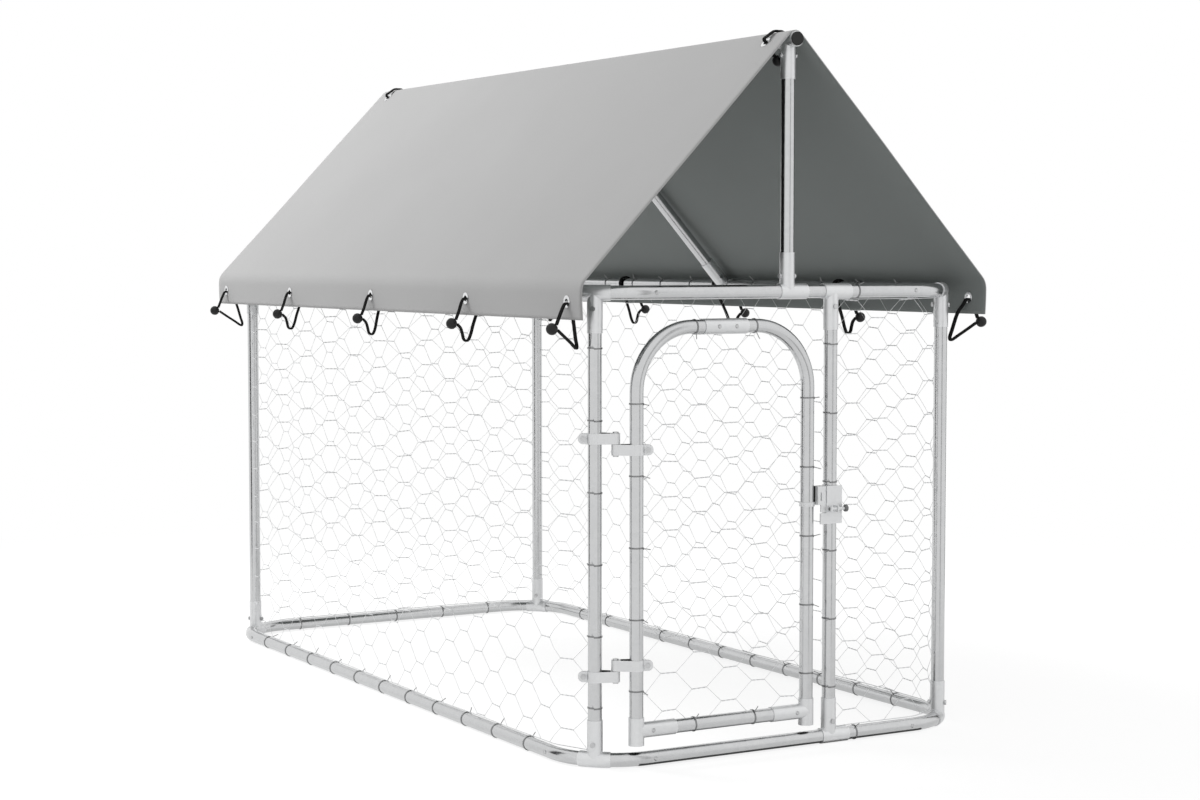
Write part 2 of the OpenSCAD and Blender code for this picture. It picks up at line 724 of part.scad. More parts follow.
// Collar on the door stile with the boxed catch: front plate, tongue, folded side and top
module latch_keeper() {
    w = catch_right - catch_left;
    h = catch_high - catch_low;
    color(steel) difference() {
        union() {
            translate([door_right, door_y, collar_low]) cylinder(r = strap_or, h = collar_h);
            translate([catch_left, latch_front, catch_low]) cube([w, plate_t, h]);
            translate([catch_right - tongue_w, latch_front, tongue_low])
                cube([tongue_w, plate_t, catch_low - tongue_low + eps]);
            translate([catch_left, latch_front, catch_low])
                cube([plate_t, door_y - latch_front + catch_deep, h]);
            translate([catch_left, latch_front, catch_high - plate_t])
                cube([w, door_y - latch_front, plate_t]);
        }
        translate([door_right, door_y, collar_low - 1]) cylinder(r = strap_ir, h = collar_h + 2);
        translate([catch_left + window_in, latch_front - 1, catch_low + window_up])
            cube([window_w, plate_t + 2, window_h]);
    }
}

// One cell of the netting, narrowed by a strand
module cell() {
    a = cell_bar / 2 * cell_scale;
    b = (cell_bar / 2 + cell_slant) * cell_scale;
    c = cell_h / 2 * cell_scale;
    polygon([[-b, 0], [-a, -c], [a, -c], [b, 0], [a, c], [-a, c]]);
}

module cells(w, h) {
    for (i = [0 : ceil(w / cell_pitch)], j = [0 : ceil(h / cell_h)])
        translate([i * cell_pitch, (j + i % 2 / 2) * cell_h]) cell();
}

// Flat net in the XZ plane with its lower left corner at the origin
module net_panel(w, h) {
    rotate([90, 0, 0]) linear_extrude(net_t, center = true) difference() {
        square([w, h]);
        intersection() {
            translate([strand_w, strand_w]) square([w - 2 * strand_w, h - 2 * strand_w]);
            cells(w, h);
        }
    }
}

// Slots in the top edge of a side net where the side loops pass through
module loop_slots(turn) {
    for (y = side_rows) translate([turn * (y + (y == 0 ? slot_aside : 0)) - 2 * cord_d, -net_t,
                                   net_high - net_low - slot_down])
        cube([4 * cord_d, 2 * net_t, slot_h]);
}

// Net on side i of the frame, between the bends
module wall_net(i) {
    w = side_l(i) - 2 * net_gap;
    color(wire) side(i, net_low) difference() {
        translate([-w / 2, 0, 0]) net_panel(w, net_high - net_low);
        if (i % 2 == 1) loop_slots(2 - i);
    }
}

module net_front() {
    color(wire) translate([bay_left, -half_l, net_low]) net_panel(bay_right - bay_left, net_high - net_low);
}

// Net strips between the bends' ends and the corner posts, none beside the door
module corner_nets() {
    color(wire) for (i = [0 : 3], s = [-1, 1]) if (i > 0 || s < 0)
        corner(i, net_low) translate([bend_r, 0, 0]) rotate([0, 0, s * 112.5])
            translate([strip_near, 0, 0]) net_panel(strip_l - strip_near - 2 * net_gap, net_high - net_low);
}

// Wire tie around a tube of diameter d along Z
module tie(d) {
    rotate_extrude() translate([d / 2 + tie_gap + tie_d / 2, 0]) circle(d = tie_d);
}

// Ties on a rail, at places along side i
module rail_ties(i, z, places) {
    side(i, z) for (x = places) translate([x, 0, 0]) rotate([0, 90, 0]) tie(rail_d);
}

module frame_ties() {
    reach = function(i) side_l(i) / 2 - screw_in - 2 * screw_head_r;
    bay_low = latch_post_x + arm_long;
    bay_rows = tie_rows(bay_low + tie_clear, reach(0), bay_low + bay_tie_in, tie_step, []);
    king = [[0, arm_long + tie_clear]];
    loops = [for (y = side_rows) [y, arm_even + tie_clear]];
    low = base_z + branch_l + tie_clear;
    high = top_z - branch_l - tie_clear;
    start = top_z - post_tie_drop;
    straps = [for (z = post_strap_z) [z + strap_w / 2, strap_w]];
    latch = [[(bracket_low + bracket_high) / 2, (bracket_high - bracket_low) / 2 + tie_clear]];
    color(wire) {
        for (i = [1 : 3]) {
            rail_ties(i, base_z, tie_rows(-reach(i), reach(i), 0, tie_step, []));
            rail_ties(i, top_z, tie_rows(-reach(i), reach(i), 0, tie_step, i == 2 ? king : loops));
        }
        rail_ties(0, base_z, bay_rows);
        rail_ties(0, top_z, bay_rows);
        for (z = tie_rows(low, high, start, tie_step, straps))
            translate([-post_x, -post_y, z]) tie(post_d);
        for (z = tie_rows(low, high, start, tie_step, latch))
            translate([latch_post_x, -half_l, z]) tie(post_d);
    }
}

// Left half of the door frame: stile, bend and half of the top
module door_half() {
    stile = door_top_z - arch_r - door_foot_z;
    top = door_w / 2 - arch_r - end_gap / 2;
    bore = post_d - 2 * tube_wall;
    translate([-door_w / 2, 0, door_foot_z]) difference() {
        union() {
            cylinder(d = post_d, h = stile);
            translate([arch_r, 0, stile]) rotate([90, 0, 0]) rotate([0, 0, 90]) rotate_extrude(angle = 90)
                translate([arch_r, 0]) circle(d = post_d);
            translate([arch_r, 0, stile + arch_r]) rotate([0, 90, 0]) cylinder(d = post_d, h = top);
        }
        translate([0, 0, -1]) cylinder(d = bore, h = stile + 1);
        translate([arch_r, 0, stile]) rotate([90, 0, 0]) rotate([0, 0, 90]) rotate_extrude(angle = 90)
            translate([arch_r, 0]) circle(d = bore);
        translate([arch_r, 0, stile + arch_r]) rotate([0, 90, 0]) cylinder(d = bore, h = top + 1);
        translate([door_w / 2 - door_sleeve_l / 5, -post_d / 2, stile + arch_r])
            cross_hole(screw_hole_d, post_d / 2);
    }
}

module door_tube_left() {
    color(steel) translate([door_mid, door_y, 0]) door_half();
}

module door_tube_right() {
    color(steel) translate([door_mid, door_y, 0]) mirror([1, 0, 0]) door_half();
}

module door_top_sleeve() {
    color(steel) translate([door_mid, door_y, door_top_z]) difference() {
        rotate([0, 90, 0]) cylinder(r = run_or(post_d), h = door_sleeve_l, center = true);
        rotate([0, 90, 0]) cylinder(r = run_ir(post_d), h = door_sleeve_l + 2, center = true);
        for (s = [-1, 1]) translate([s * door_sleeve_l / 5, -post_d / 2, 0])
            cross_hole(screw_hole_d, post_d / 2);
    }
}

module door_bottom_rail() {
    color(steel) translate([door_mid, door_y, door_rail_z]) difference() {
        translate([-door_rail_half, 0, 0]) rotate([0, 90, 0]) tube(2 * door_rail_half, post_d);
        for (s = [-1, 1]) translate([s * (door_w / 2 - bolt_in), 0, 0]) cross_hole(screw_hole_d, 2 * post_d);
    }
}

// Tees at the foot of the stiles, with their branches towards the middle
module door_tees() {
    color(steel) translate([door_mid, door_y, door_rail_z]) for (s = [0, 1]) mirror([s, 0, 0])
        translate([-door_w / 2, 0, 0]) rotate([0, 90, 0])
            tee(post_d, door_tee_up, door_foot, door_branch_l, 0, screw_hole_d);
}

// Outline inside the door frame, set in from the tube centre lines
module door_outline(inset) {
    w = door_w - 2 * inset;
    h = door_top_z - door_rail_z - 2 * inset;
    r = arch_r - inset;
    translate([-w / 2, inset]) {
        square([w, h - r]);
        translate([r, 0]) square([w - 2 * r, h]);
        for (x = [r, w - r]) translate([x, h - r]) circle(r = r);
    }
}

module door_net() {
    h = door_top_z - door_rail_z;
    color(wire) translate([door_mid, door_y, door_rail_z]) rotate([90, 0, 0])
        linear_extrude(net_t, center = true) difference() {
            door_outline(door_inset);
            intersection() {
                door_outline(door_inset + strand_w);
                translate([-door_w / 2, 0]) cells(door_w, h);
            }
        }
}

module door_ties() {
    low = door_rail_z + door_tee_up + tie_clear;
    high = door_top_z - arch_r;
    start = door_top_z - stile_tie_drop;
    left = [for (z = door_strap_z) [z + strap_w / 2, strap_w]];
    right = [[(collar_low + bracket_high) / 2, (bracket_high - collar_low) / 2 + tie_clear]];
    color(wire) {
        for (z = tie_rows(low, high, start, tie_step, left)) translate([door_left, door_y, z]) tie(post_d);
        for (z = tie_rows(low, high, start, tie_step, right)) translate([door_right, door_y, z]) tie(post_d);
        for (z = [door_rail_z, door_top_z], s = [-1, 1])
            translate([door_mid + s * tie_step / 2, door_y, z]) rotate([0, 90, 0]) tie(post_d);
    }
}

// Hinge bolts with nuts, and the screws of the door's joints
module door_fasteners() {
    color(dark_steel) {
        for (z = door_strap_z) hinge_frame(z + strap_w / 2) translate([ear_bolt_x, 0, 0])
            through_bolt(ear_t / 2);
        for (s = [-1, 1]) translate([door_mid + s * door_sleeve_l / 5, door_y - run_or(post_d), door_top_z])
            pan_screw();
        for (s = [-1, 1]) translate([door_mid + s * (door_w / 2 - bolt_in), door_y - branch_or, door_rail_z])
            pan_screw();
    }
}

// Places of the eyelets: on a skirt, and on a slope beside the ridge
module skirt_eyelet(s, y) {
    translate([s * (tarp_w / 2 - tarp_t / 2), y, eyelet_z]) rotate([0, 90, 0]) children();
}

module slope_eyelet(s, y) {
    x = ridge_eyelet;
    translate([s * x, y, slope_z(x)]) rotate([0, s * slope_a, 0]) translate([0, 0, -tarp_t / 2]) children();
}

module at_eyelets() {
    for (s = [-1, 1]) {
        for (y = concat(side_rows, [-corner_row, corner_row])) skirt_eyelet(s, y) children();
        for (y = [-ridge_row, ridge_row]) slope_eyelet(s, y) children();
    }
}

module tarp() {
    color(cloth) difference() {
        rotate([90, 0, 0]) linear_extrude(tarp_l, center = true)
            polygon(concat(tarp_line(0), reversed(tarp_line(tarp_t))));
        at_eyelets() cylinder(r = eyelet_r + barrel_wall + fit, h = 4 * tarp_t, center = true);
    }
}

// Eyelet: a short barrel through the sheet with a flange on each face
module tarp_eyelets() {
    a = tarp_t / 2 + fit;
    b = a + flange_t;
    color(steel) at_eyelets() rotate_extrude() polygon([
        [eyelet_r, -b], [eyelet_or, -b], [eyelet_or, -a], [eyelet_r + barrel_wall, -a],
        [eyelet_r + barrel_wall, a], [eyelet_or, a], [eyelet_or, b], [eyelet_r, b]
    ]);
}

module bungee_loops() {
    color(black) {
        for (s = [-1, 1], y = side_rows)
            let (d = y == 0 ? 2 * run_or(rail_d) : rail_d, aside = y == 0 ? rafter_aside : 0)
                cord([for (p = side_route(d)) [s * (half_w + p[0]), y + aside * p[1], top_z + p[2]]]);
        for (s = [-1, 1], t = [-1, 1])
            cord([for (p = corner_route) [s * (tarp_w / 2 + p[0]), t * (corner_row - p[1]), hem_z + p[2]]]);
        for (t = [-1, 1])
            cord([for (p = ridge_route) [p[0], t * ridge_row, ridge_loop_z + p[1]]]);
    }
}

module bungee_balls() {
    color(black) {
        for (s = [-1, 1], y = concat(side_rows, [-corner_row, corner_row]))
            translate([s * ball_out, y, ball_z]) sphere(r = ball_r);
        for (t = [-1, 1]) translate([0, t * ridge_row, ridge_loop_z - ridge_ball_drop]) sphere(r = ball_r);
    }
}

rail(0, base_z);  // base_rail_front
rail(1, base_z);  // base_rail_right
rail(2, base_z);  // base_rail_back
rail(3, base_z);  // base_rail_left
bend(0, base_z);  // base_bend_fl
bend(1, base_z);  // base_bend_fr
bend(2, base_z);  // base_bend_bl
bend(3, base_z);  // base_bend_br
rail(0, top_z);  // top_rail_front
rail(1, top_z);  // top_rail_right
rail(2, top_z);  // top_rail_back
rail(3, top_z);  // top_rail_left
bend(0, top_z);  // top_bend_fl
bend(1, top_z);  // top_bend_fr
bend(2, top_z);  // top_bend_bl
bend(3, top_z);  // top_bend_br
corner_post(0);  // post_fl
corner_post(1);  // post_fr
corner_post(2);  // post_bl
corner_post(3);  // post_br
latch_post();
king_post(-1);  // king_post_front
king_post(1);  // king_post_back
ridge_tube();
rafter(-1);  // rafter_left
rafter(1);  // rafter_right
ridge_caps();
base_corner_tees();
top_corner_tees();
post_tees();
ridge_end_tees();
rafter_feet();
ridge_cross();
frame_bolts();
joint_screws();
hinge_post_clamps();
hinge_pins();
latch_bracket();
wall_net(3);  // net_left
wall_net(1);  // net_right
wall_net(2);  // net_back
net_front();
corner_nets();
frame_ties();
tarp();
tarp_eyelets();
bungee_loops();
bungee_balls();
door_tube_left();
door_tube_right();
door_top_sleeve();
door_bottom_rail();
door_tees();
door_net();
door_ties();
hinge_door_clamps();
door_fasteners();
latch_keeper();
latch_bolt();
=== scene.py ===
"""Looks of an outdoor dog kennel run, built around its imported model.

Lengths are in metres in the model's own frame: +X is right as seen from the door,
+Y is the back, +Z is up, and the origin is on the ground under the middle of the run.
"""

import json
import logging
import math
from dataclasses import dataclass, field
from enum import Enum

import bpy
import numpy as np
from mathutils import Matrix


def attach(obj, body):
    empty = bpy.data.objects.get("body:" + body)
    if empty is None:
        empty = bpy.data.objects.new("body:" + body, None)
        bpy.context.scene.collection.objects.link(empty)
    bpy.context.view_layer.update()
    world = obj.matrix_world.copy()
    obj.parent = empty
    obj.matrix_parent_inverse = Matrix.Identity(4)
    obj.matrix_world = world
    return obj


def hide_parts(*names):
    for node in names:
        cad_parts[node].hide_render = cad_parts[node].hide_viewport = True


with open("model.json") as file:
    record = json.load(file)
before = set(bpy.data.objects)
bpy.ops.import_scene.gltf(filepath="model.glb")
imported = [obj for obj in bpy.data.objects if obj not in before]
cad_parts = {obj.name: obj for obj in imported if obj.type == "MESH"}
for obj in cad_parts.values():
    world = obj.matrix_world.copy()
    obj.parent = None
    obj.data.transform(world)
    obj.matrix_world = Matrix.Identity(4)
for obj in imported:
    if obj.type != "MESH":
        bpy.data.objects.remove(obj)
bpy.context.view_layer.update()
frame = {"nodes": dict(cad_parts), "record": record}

LOG = logging.getLogger("kennel_run")
UV_NAME = "cloth"
UP = (0.0, 0.0, 1.0)
ALONG_RUN = (0.0, 1.0, 0.0)
Array = np.ndarray
Pair = tuple[float, float]
Point = tuple[float, float, float]


class Slot(Enum):
    """Material slots of the record."""

    TUBE = "galvanised_tube"
    FITTING = "pressed_fittings"
    HARDWARE = "zinc_hardware"
    WIRE = "galvanised_wire"
    TARP = "grey_tarpaulin"
    EYELET = "eyelet_metal"
    ELASTIC = "black_elastic"
    PLASTIC = "black_plastic"


class Body(Enum):
    """Bodies of the model."""

    FRAME = "frame"
    DOOR = "door"


# Shapes


@dataclass
class Shape:
    """Points and faces of a surface.

    Faces are arrays of corner numbers, one array for each count of corners. The
    UV map has one pair for each corner, in the order of the faces.
    """

    points: Array
    faces: list[Array]
    uv: Array | None = None
    finish_index: Array | None = None

    def object(self, name: str, materials: list[bpy.types.Material]) -> bpy.types.Object:
        """Makes the object of this shape.

        Args:
            name: Name of the piece.
            materials: Its materials, in the order of finish_index.

        Returns:
            The new object, linked to the scene.
        """
        mesh = bpy.data.meshes.new(name)
        faces = [face for block in self.faces for face in block.tolist()]
        mesh.from_pydata(self.points.tolist(), [], faces)
        for material in materials:
            mesh.materials.append(material)
        if self.uv is not None:
            layer = mesh.uv_layers.new(name=UV_NAME)
            layer.data.foreach_set("uv", self.uv.astype(np.float32).ravel())
        if self.finish_index is not None:
            mesh.polygons.foreach_set("material_index", self.finish_index.astype(np.int32))
        mesh.polygons.foreach_set("use_smooth", np.ones(len(mesh.polygons), bool))
        mesh.update()
        return linked(name, mesh)


def linked(name: str, data: bpy.types.ID) -> bpy.types.Object:
    """A new object of some data, linked to the scene."""
    made = bpy.data.objects.new(name, data)
    bpy.context.scene.collection.objects.link(made)
    return made


def quad(first: Point, second: Point, way: Point) -> Shape:
    """A flat card from two of its corners and the way from them to the other two."""
    corners = np.array([first, second, second, first]) + np.outer([0, 0, 1, 1], way)
    return Shape(corners, [np.array([[0, 1, 2, 3]])])


def joined(shapes: list[Shape]) -> Shape:
    """Puts several shapes without finish numbers into one.

    Args:
        shapes: The shapes, all with a UV map or all without.

    Returns:
        One shape with all their points and faces.
    """
    starts = np.cumsum([0] + [len(s.points) for s in shapes[:-1]])
    faces = [block + start for s, start in zip(shapes, starts) for block in s.faces]
    with_uv = all(s.uv is not None for s in shapes)
    uv = np.concatenate([s.uv for s in shapes]) if with_uv else None
    return Shape(np.concatenate([s.points for s in shapes]), faces, uv)


def unit(vectors: Array) -> Array:
    """Vectors of length one with the same directions."""
    return vectors / np.linalg.norm(vectors, axis=-1, keepdims=True)


def spots(x: object, y: object, z: object) -> Array:
    """Points in space from numbers or arrays of one shape."""
    return np.stack(np.broadcast_arrays(x, y, z), -1)


def lengths(lines: Array) -> Array:
    """Length of one line, or of many, up to each of its points."""
    steps = np.linalg.norm(np.diff(lines, axis=-2), axis=-1)
    return np.concatenate([np.zeros_like(steps[..., :1]), np.cumsum(steps, axis=-1)], axis=-1)


def waves(u: Array, v: Array, rows: tuple[Point, ...]) -> Array:
    """Sum of the sines of a u + b v + c, for the rows a, b and c."""
    return sum(np.sin(a * u + b * v + c) for a, b, c in rows)


def grid_faces(rows: int, cols: int, wrap: bool) -> Array:
    """Faces of a grid of points that is stored row by row.

    Each face joins a point to the next one in its row and to both in the next row.

    Args:
        rows: Number of rows.
        cols: Points in a row.
        wrap: Whether the last point of a row joins the first.

    Returns:
        Corner numbers, four for each face.
    """
    i, j = np.meshgrid(np.arange(rows - 1), np.arange(cols if wrap else cols - 1), indexing="ij")
    k = (j + 1) % cols
    corners = [i * cols + j, i * cols + k, (i + 1) * cols + k, (i + 1) * cols + j]
    return np.stack(corners, -1).reshape(-1, 4)


def swept(paths: Array, radius: float, sides: int, level: Array) -> Shape:
    """Round tubes along many paths at once, closed at both ends.

    A ring's point is centre + radius (cos a * side + sin a * up), where side is square
    to the path and to the level direction, and up is square to the path and to side.

    Args:
        paths: Centre lines, as tubes by points by three.
        radius: Radius of every tube.
        sides: Points in a ring.
        level: A direction that no path follows, one for all or one for each tube.

    Returns:
        The tubes, with U along each tube in metres and V once around it.
    """
    count, rings, _ = paths.shape
    along = unit(np.gradient(paths, axis=1))
    level = np.broadcast_to(np.asarray(level, float).reshape(-1, 1, 3), paths.shape)
    side = unit(np.cross(along, level))
    up = np.cross(along, side)
    turn = np.arange(sides) * 2 * math.pi / sides
    ring = np.cos(turn)[:, None] * side[:, :, None] + np.sin(turn)[:, None] * up[:, :, None]
    points = (paths[:, :, None] + radius * ring).reshape(-1, 3)
    start = (np.arange(count) * rings * sides)[:, None, None]
    walls = (grid_faces(rings, sides, True)[None] + start).reshape(-1, 4)
    first = np.arange(sides)[None, ::-1] + start[:, 0]
    last = np.arange(sides)[None] + (rings - 1) * sides + start[:, 0]
    around = np.arange(sides + 1) / sides
    grid_uv = np.stack(np.broadcast_arrays(lengths(paths)[:, :, None], around), -1)
    wall_uv = grid_uv.reshape(count, -1, 2)[:, grid_faces(rings, sides + 1, False)]
    cap_uv = np.zeros((2 * count * sides, 2))
    return Shape(points, [walls, first, last], np.concatenate([wall_uv.reshape(-1, 2), cap_uv]))


def smooth(points: Array, steps: int) -> Array:
    """A Catmull-Rom curve through points, whose slope at a point follows its neighbours.

    Args:
        points: Points of the route.
        steps: Points for each stretch of the route.

    Returns:
        The curve's points, with both ends of the route.
    """
    p = np.concatenate([2 * points[:1] - points[1:2], points, 2 * points[-1:] - points[-2:-1]])
    a, b, c, d = (p[k : len(p) - 3 + k, None] for k in range(4))
    t = np.linspace(0, 1, steps, endpoint=False)[None, :, None]
    curve = b + t * (c - a) / 2 + t**2 * (2 * a - 5 * b + 4 * c - d) / 2
    curve = curve + t**3 * (3 * (b - c) + d - a) / 2
    return np.concatenate([curve.reshape(-1, 3), points[-1:]])


def twisted(
    start: Array, end: Array, normal: Array, radius: float, turns: float, rings: int
) -> Array:
    """Centre lines of pairs of wires twisted about straight lines.

    A wire's point is the line's point + radius (cos a * normal + sin a * side), and the
    second wire is half a turn ahead.

    Args:
        start: First ends of the lines.
        end: Second ends of the lines.
        normal: A direction square to each line.
        radius: Distance of the wires from the line.
        turns: Turns from end to end.
        rings: Points on each wire.

    Returns:
        Paths of both wires of every line, as wires by points by three.
    """
    t = np.linspace(0, 1, rings)[None, :, None]
    line = start[:, None] + t * (end - start)[:, None]
    side = np.cross(unit(end - start), normal)
    angle = 2 * math.pi * turns * t
    swing = radius * (np.cos(angle) * normal[:, None] + np.sin(angle) * side[:, None])
    return np.concatenate([line + swing, line - swing])


# Shaders


@dataclass
class Value:
    """A number in a shader, with the operators that add Math nodes."""

    shader: "Shader"
    socket: bpy.types.NodeSocket

    def _math(self, operation: str, a: object, b: object) -> "Value":
        """Adds a Math node on two values or numbers."""
        return self.shader.value("ShaderNodeMath", {"operation": operation}, {0: a, 1: b})

    def __add__(self, other: object) -> "Value":
        """Sum, in either order."""
        return self._math("ADD", self, other)

    def __sub__(self, other: object) -> "Value":
        """Difference."""
        return self._math("SUBTRACT", self, other)

    def __rsub__(self, other: object) -> "Value":
        """Difference from a number."""
        return self._math("SUBTRACT", other, self)

    def __mul__(self, other: object) -> "Value":
        """Product, in either order."""
        return self._math("MULTIPLY", self, other)

    __radd__, __rmul__ = __add__, __mul__

    def sine(self) -> "Value":
        """Sine of the value."""
        return self._math("SINE", self, 0.0)

    def largest(self, other: object) -> "Value":
        """The larger of two values."""
        return self._math("MAXIMUM", self, other)


@dataclass
class Shader:
    """A node tree that is being written."""

    tree: bpy.types.NodeTree

    def node(
        self, kind: str, settings: dict[str, object], inputs: dict[object, object]
    ) -> bpy.types.Node:
        """Adds a node.

        Args:
            kind: Type of the node.
            settings: Its settings, which are set before its sockets.
            inputs: Values or links of its sockets, by name or number.

        Returns:
            The new node.
        """
        made = self.tree.nodes.new(kind)
        for name, setting in settings.items():
            setattr(made, name, setting)
        for key, given in inputs.items():
            socket = given.socket if isinstance(given, Value) else given
            if isinstance(socket, bpy.types.NodeSocket):
                self.tree.links.new(socket, made.inputs[key])
            else:
                made.inputs[key].default_value = socket
        return made

    def value(
        self, kind: str, settings: dict[str, object], inputs: dict[object, object],
        output: object = 0,
    ) -> Value:
        """Adds a node and takes one of its outputs as a number.

        Args:
            kind: Type of the node.
            settings: Its settings.
            inputs: Values or links of its sockets.
            output: Name or number of the output.

        Returns:
            The output.
        """
        return Value(self, self.node(kind, settings, inputs).outputs[output])

    def place(self) -> bpy.types.NodeSocket:
        """Place in the piece's own frame, in metres."""
        return self.node("ShaderNodeTexCoord", {}, {}).outputs["Object"]

    def mapped(self) -> bpy.types.NodeSocket:
        """Place on the piece's own UV map."""
        return self.node("ShaderNodeUVMap", {"uv_map": UV_NAME}, {}).outputs[0]

    def parts(self, where: object) -> list[Value]:
        """The three parts of a place."""
        split = self.node("ShaderNodeSeparateXYZ", {}, {0: where})
        return [Value(self, part) for part in split.outputs]

    def show(self, surface: bpy.types.Node) -> None:
        """Makes a surface the one that the material shows."""
        self.node("ShaderNodeOutputMaterial", {}, {"Surface": surface.outputs[0]})

    def noise(self, where: object, scale: float, detail: float = 2.0) -> Value:
        """Soft noise from 0 to 1 at a scale of cells in a metre."""
        inputs = {"Vector": where, "Scale": scale, "Detail": detail}
        return self.value("ShaderNodeTexNoise", {}, inputs)

    def cells(self, where: object, scale: float) -> Value:
        """A chance level from 0 to 1 for each crystal, at a scale of crystals in a metre."""
        made = self.node("ShaderNodeTexVoronoi", {}, {"Vector": where, "Scale": scale})
        return self.value("ShaderNodeSeparateColor", {}, {0: made.outputs["Color"]})

    def blend(self, share: object, low: object, high: object) -> bpy.types.NodeSocket:
        """Mixes two colours by a share."""
        settings = {"data_type": "RGBA"}
        return self.node("ShaderNodeMix", settings, {0: share, 6: low, 7: high}).outputs[2]

    def bump(self, height: Value, strength: float, distance: float) -> bpy.types.NodeSocket:
        """Bends the normal by a height in units of a distance in metres."""
        inputs = {"Height": height, "Strength": strength, "Distance": distance}
        return self.node("ShaderNodeBump", {}, inputs).outputs[0]


def tint(level: float, warmth: float = 0.0) -> tuple[float, float, float, float]:
    """A grey, a little warmer or cooler, as a linear colour."""
    return (level * (1 + warmth), level, level * (1 - warmth), 1.0)


def weighed(shares: tuple[float, ...], *values: Value) -> Value:
    """Sum of values by their shares."""
    return sum(share * value for share, value in zip(shares, values))


def new_shader(owner: bpy.types.Material | bpy.types.World) -> Shader:
    """Starts an empty tree in a material or in the surroundings."""
    owner.use_nodes = True
    owner.node_tree.nodes.clear()
    return Shader(owner.node_tree)


@dataclass(frozen=True)
class Finish:
    """A finish between a dark and a light grey, which writes its own material."""

    name: str
    dark: float
    light: float
    roughness: float

    def inputs(self, shader: Shader) -> dict[str, object]:
        """Values of the surface, which each kind of finish gives."""
        raise NotImplementedError

    def material(self) -> bpy.types.Material:
        """Writes the material."""
        material = bpy.data.materials.new(self.name)
        shader = new_shader(material)
        shader.show(shader.node("ShaderNodeBsdfPrincipled", {}, self.inputs(shader)))
        return material


@dataclass(frozen=True)
class Zinc(Finish):
    """Galvanised or plated steel with a crystal pattern and soft cloudy streaks.

    The crystals shift the colour and the gloss of the metal. Clouds dull it in patches.
    Shares weigh crystals, clouds and grain in the colour, and two of them elsewhere.
    """

    metal: float = 1.0
    crystal: float = 110.0
    grain: float = 900.0
    cloud: float = 14.0
    relief: float = 0.0003
    bump: float = 0.06
    polish: float = 0.05
    colour_shares: Point = (0.25, 0.55, 0.20)
    rough_shares: Pair = (0.05, 0.08)
    relief_shares: Pair = (0.4, 0.6)
    warmth: Pair = (-0.012, -0.006)

    def inputs(self, shader: Shader) -> dict[str, object]:
        """Mixes crystals, clouds and fine grain.

        Args:
            shader: The shader being written.

        Returns:
            Values of the surface, by socket.
        """
        where = shader.place()
        crystals = shader.cells(where, self.crystal)
        clouds = shader.noise(where, self.cloud, detail=4.0)
        fine = shader.noise(where, self.grain)
        share = weighed(self.colour_shares, crystals, clouds, fine)
        rough = weighed(self.rough_shares, crystals, clouds)
        height = weighed(self.relief_shares, crystals, fine)
        return {
            "Base Color": self.colour(shader, where, share),
            "Metallic": self.metal,
            "Roughness": self.roughness - self.polish + rough,
            "Normal": shader.bump(height, self.bump, self.relief),
        }

    def colour(self, shader: Shader, where: object, share: Value) -> bpy.types.NodeSocket:
        """Colour at a place, from the share of the light grey."""
        dark, light = self.warmth
        return shader.blend(share, tint(self.dark, dark), tint(self.light, light))


@dataclass(frozen=True)
class ZincWithPaintedShade(Zinc):
    """Zinc with painted shade: near black behind a plane across the run, in place of the shade
    inside a fold.
    """

    edge: float = 0.0
    shade: float = 0.02
    shade_rise: float = 1000.0

    def colour(self, shader: Shader, where: object, share: Value) -> bpy.types.NodeSocket:
        """Colour of the metal in front of the plane and the painted shade behind it.

        Args:
            shader: The shader being written.
            where: The place.
            share: Share of the light grey.

        Returns:
            The colour.
        """
        # Painted shade: near black behind the plane
        behind = self.shade_rise * (shader.parts(where)[1] - self.edge)
        return shader.blend(behind, super().colour(shader, where, share), tint(self.shade))


@dataclass(frozen=True)
class CoatedCloth(Finish):
    """One side of the coated tarpaulin, read from its own UV map in metres.

    Two sets of threads cross as sines of U and V. Slubs in the threads and clouds in the
    coating shift its colour.
    """

    hue: Point = (1.0, 1.0, 1.0)
    thread: float = 0.0022
    cloud: float = 3.0
    slub: float = 420.0
    relief: float = 0.0004
    bump: float = 0.25
    specular: float = 0.3
    colour_shares: Point = (0.40, 0.90, 0.05)
    share_off: float = 0.15
    slub_rough: float = 0.12
    weave_relief: float = 0.5

    def inputs(self, shader: Shader) -> dict[str, object]:
        """Mixes the weave, its slubs and the clouds.

        Args:
            shader: The shader being written.

        Returns:
            Values of the surface, by socket.
        """
        where = shader.mapped()
        across, along, _ = shader.parts(where)
        pitch = 2 * math.pi / self.thread
        weave = (pitch * across).sine() * (pitch * along).sine()
        clouds = shader.noise(where, self.cloud, detail=4.0)
        slubs = shader.noise(where, self.slub, detail=3.0)
        share = weighed(self.colour_shares, clouds, slubs, weave) - self.share_off
        dark, light = (
            (*(level * part for part in self.hue), 1.0) for level in (self.dark, self.light)
        )
        return {
            "Base Color": shader.blend(share, dark, light),
            "Roughness": self.roughness + self.slub_rough * slubs,
            "Normal": shader.bump(self.weave_relief * weave + slubs, self.bump, self.relief),
            "Specular IOR Level": self.specular,
        }


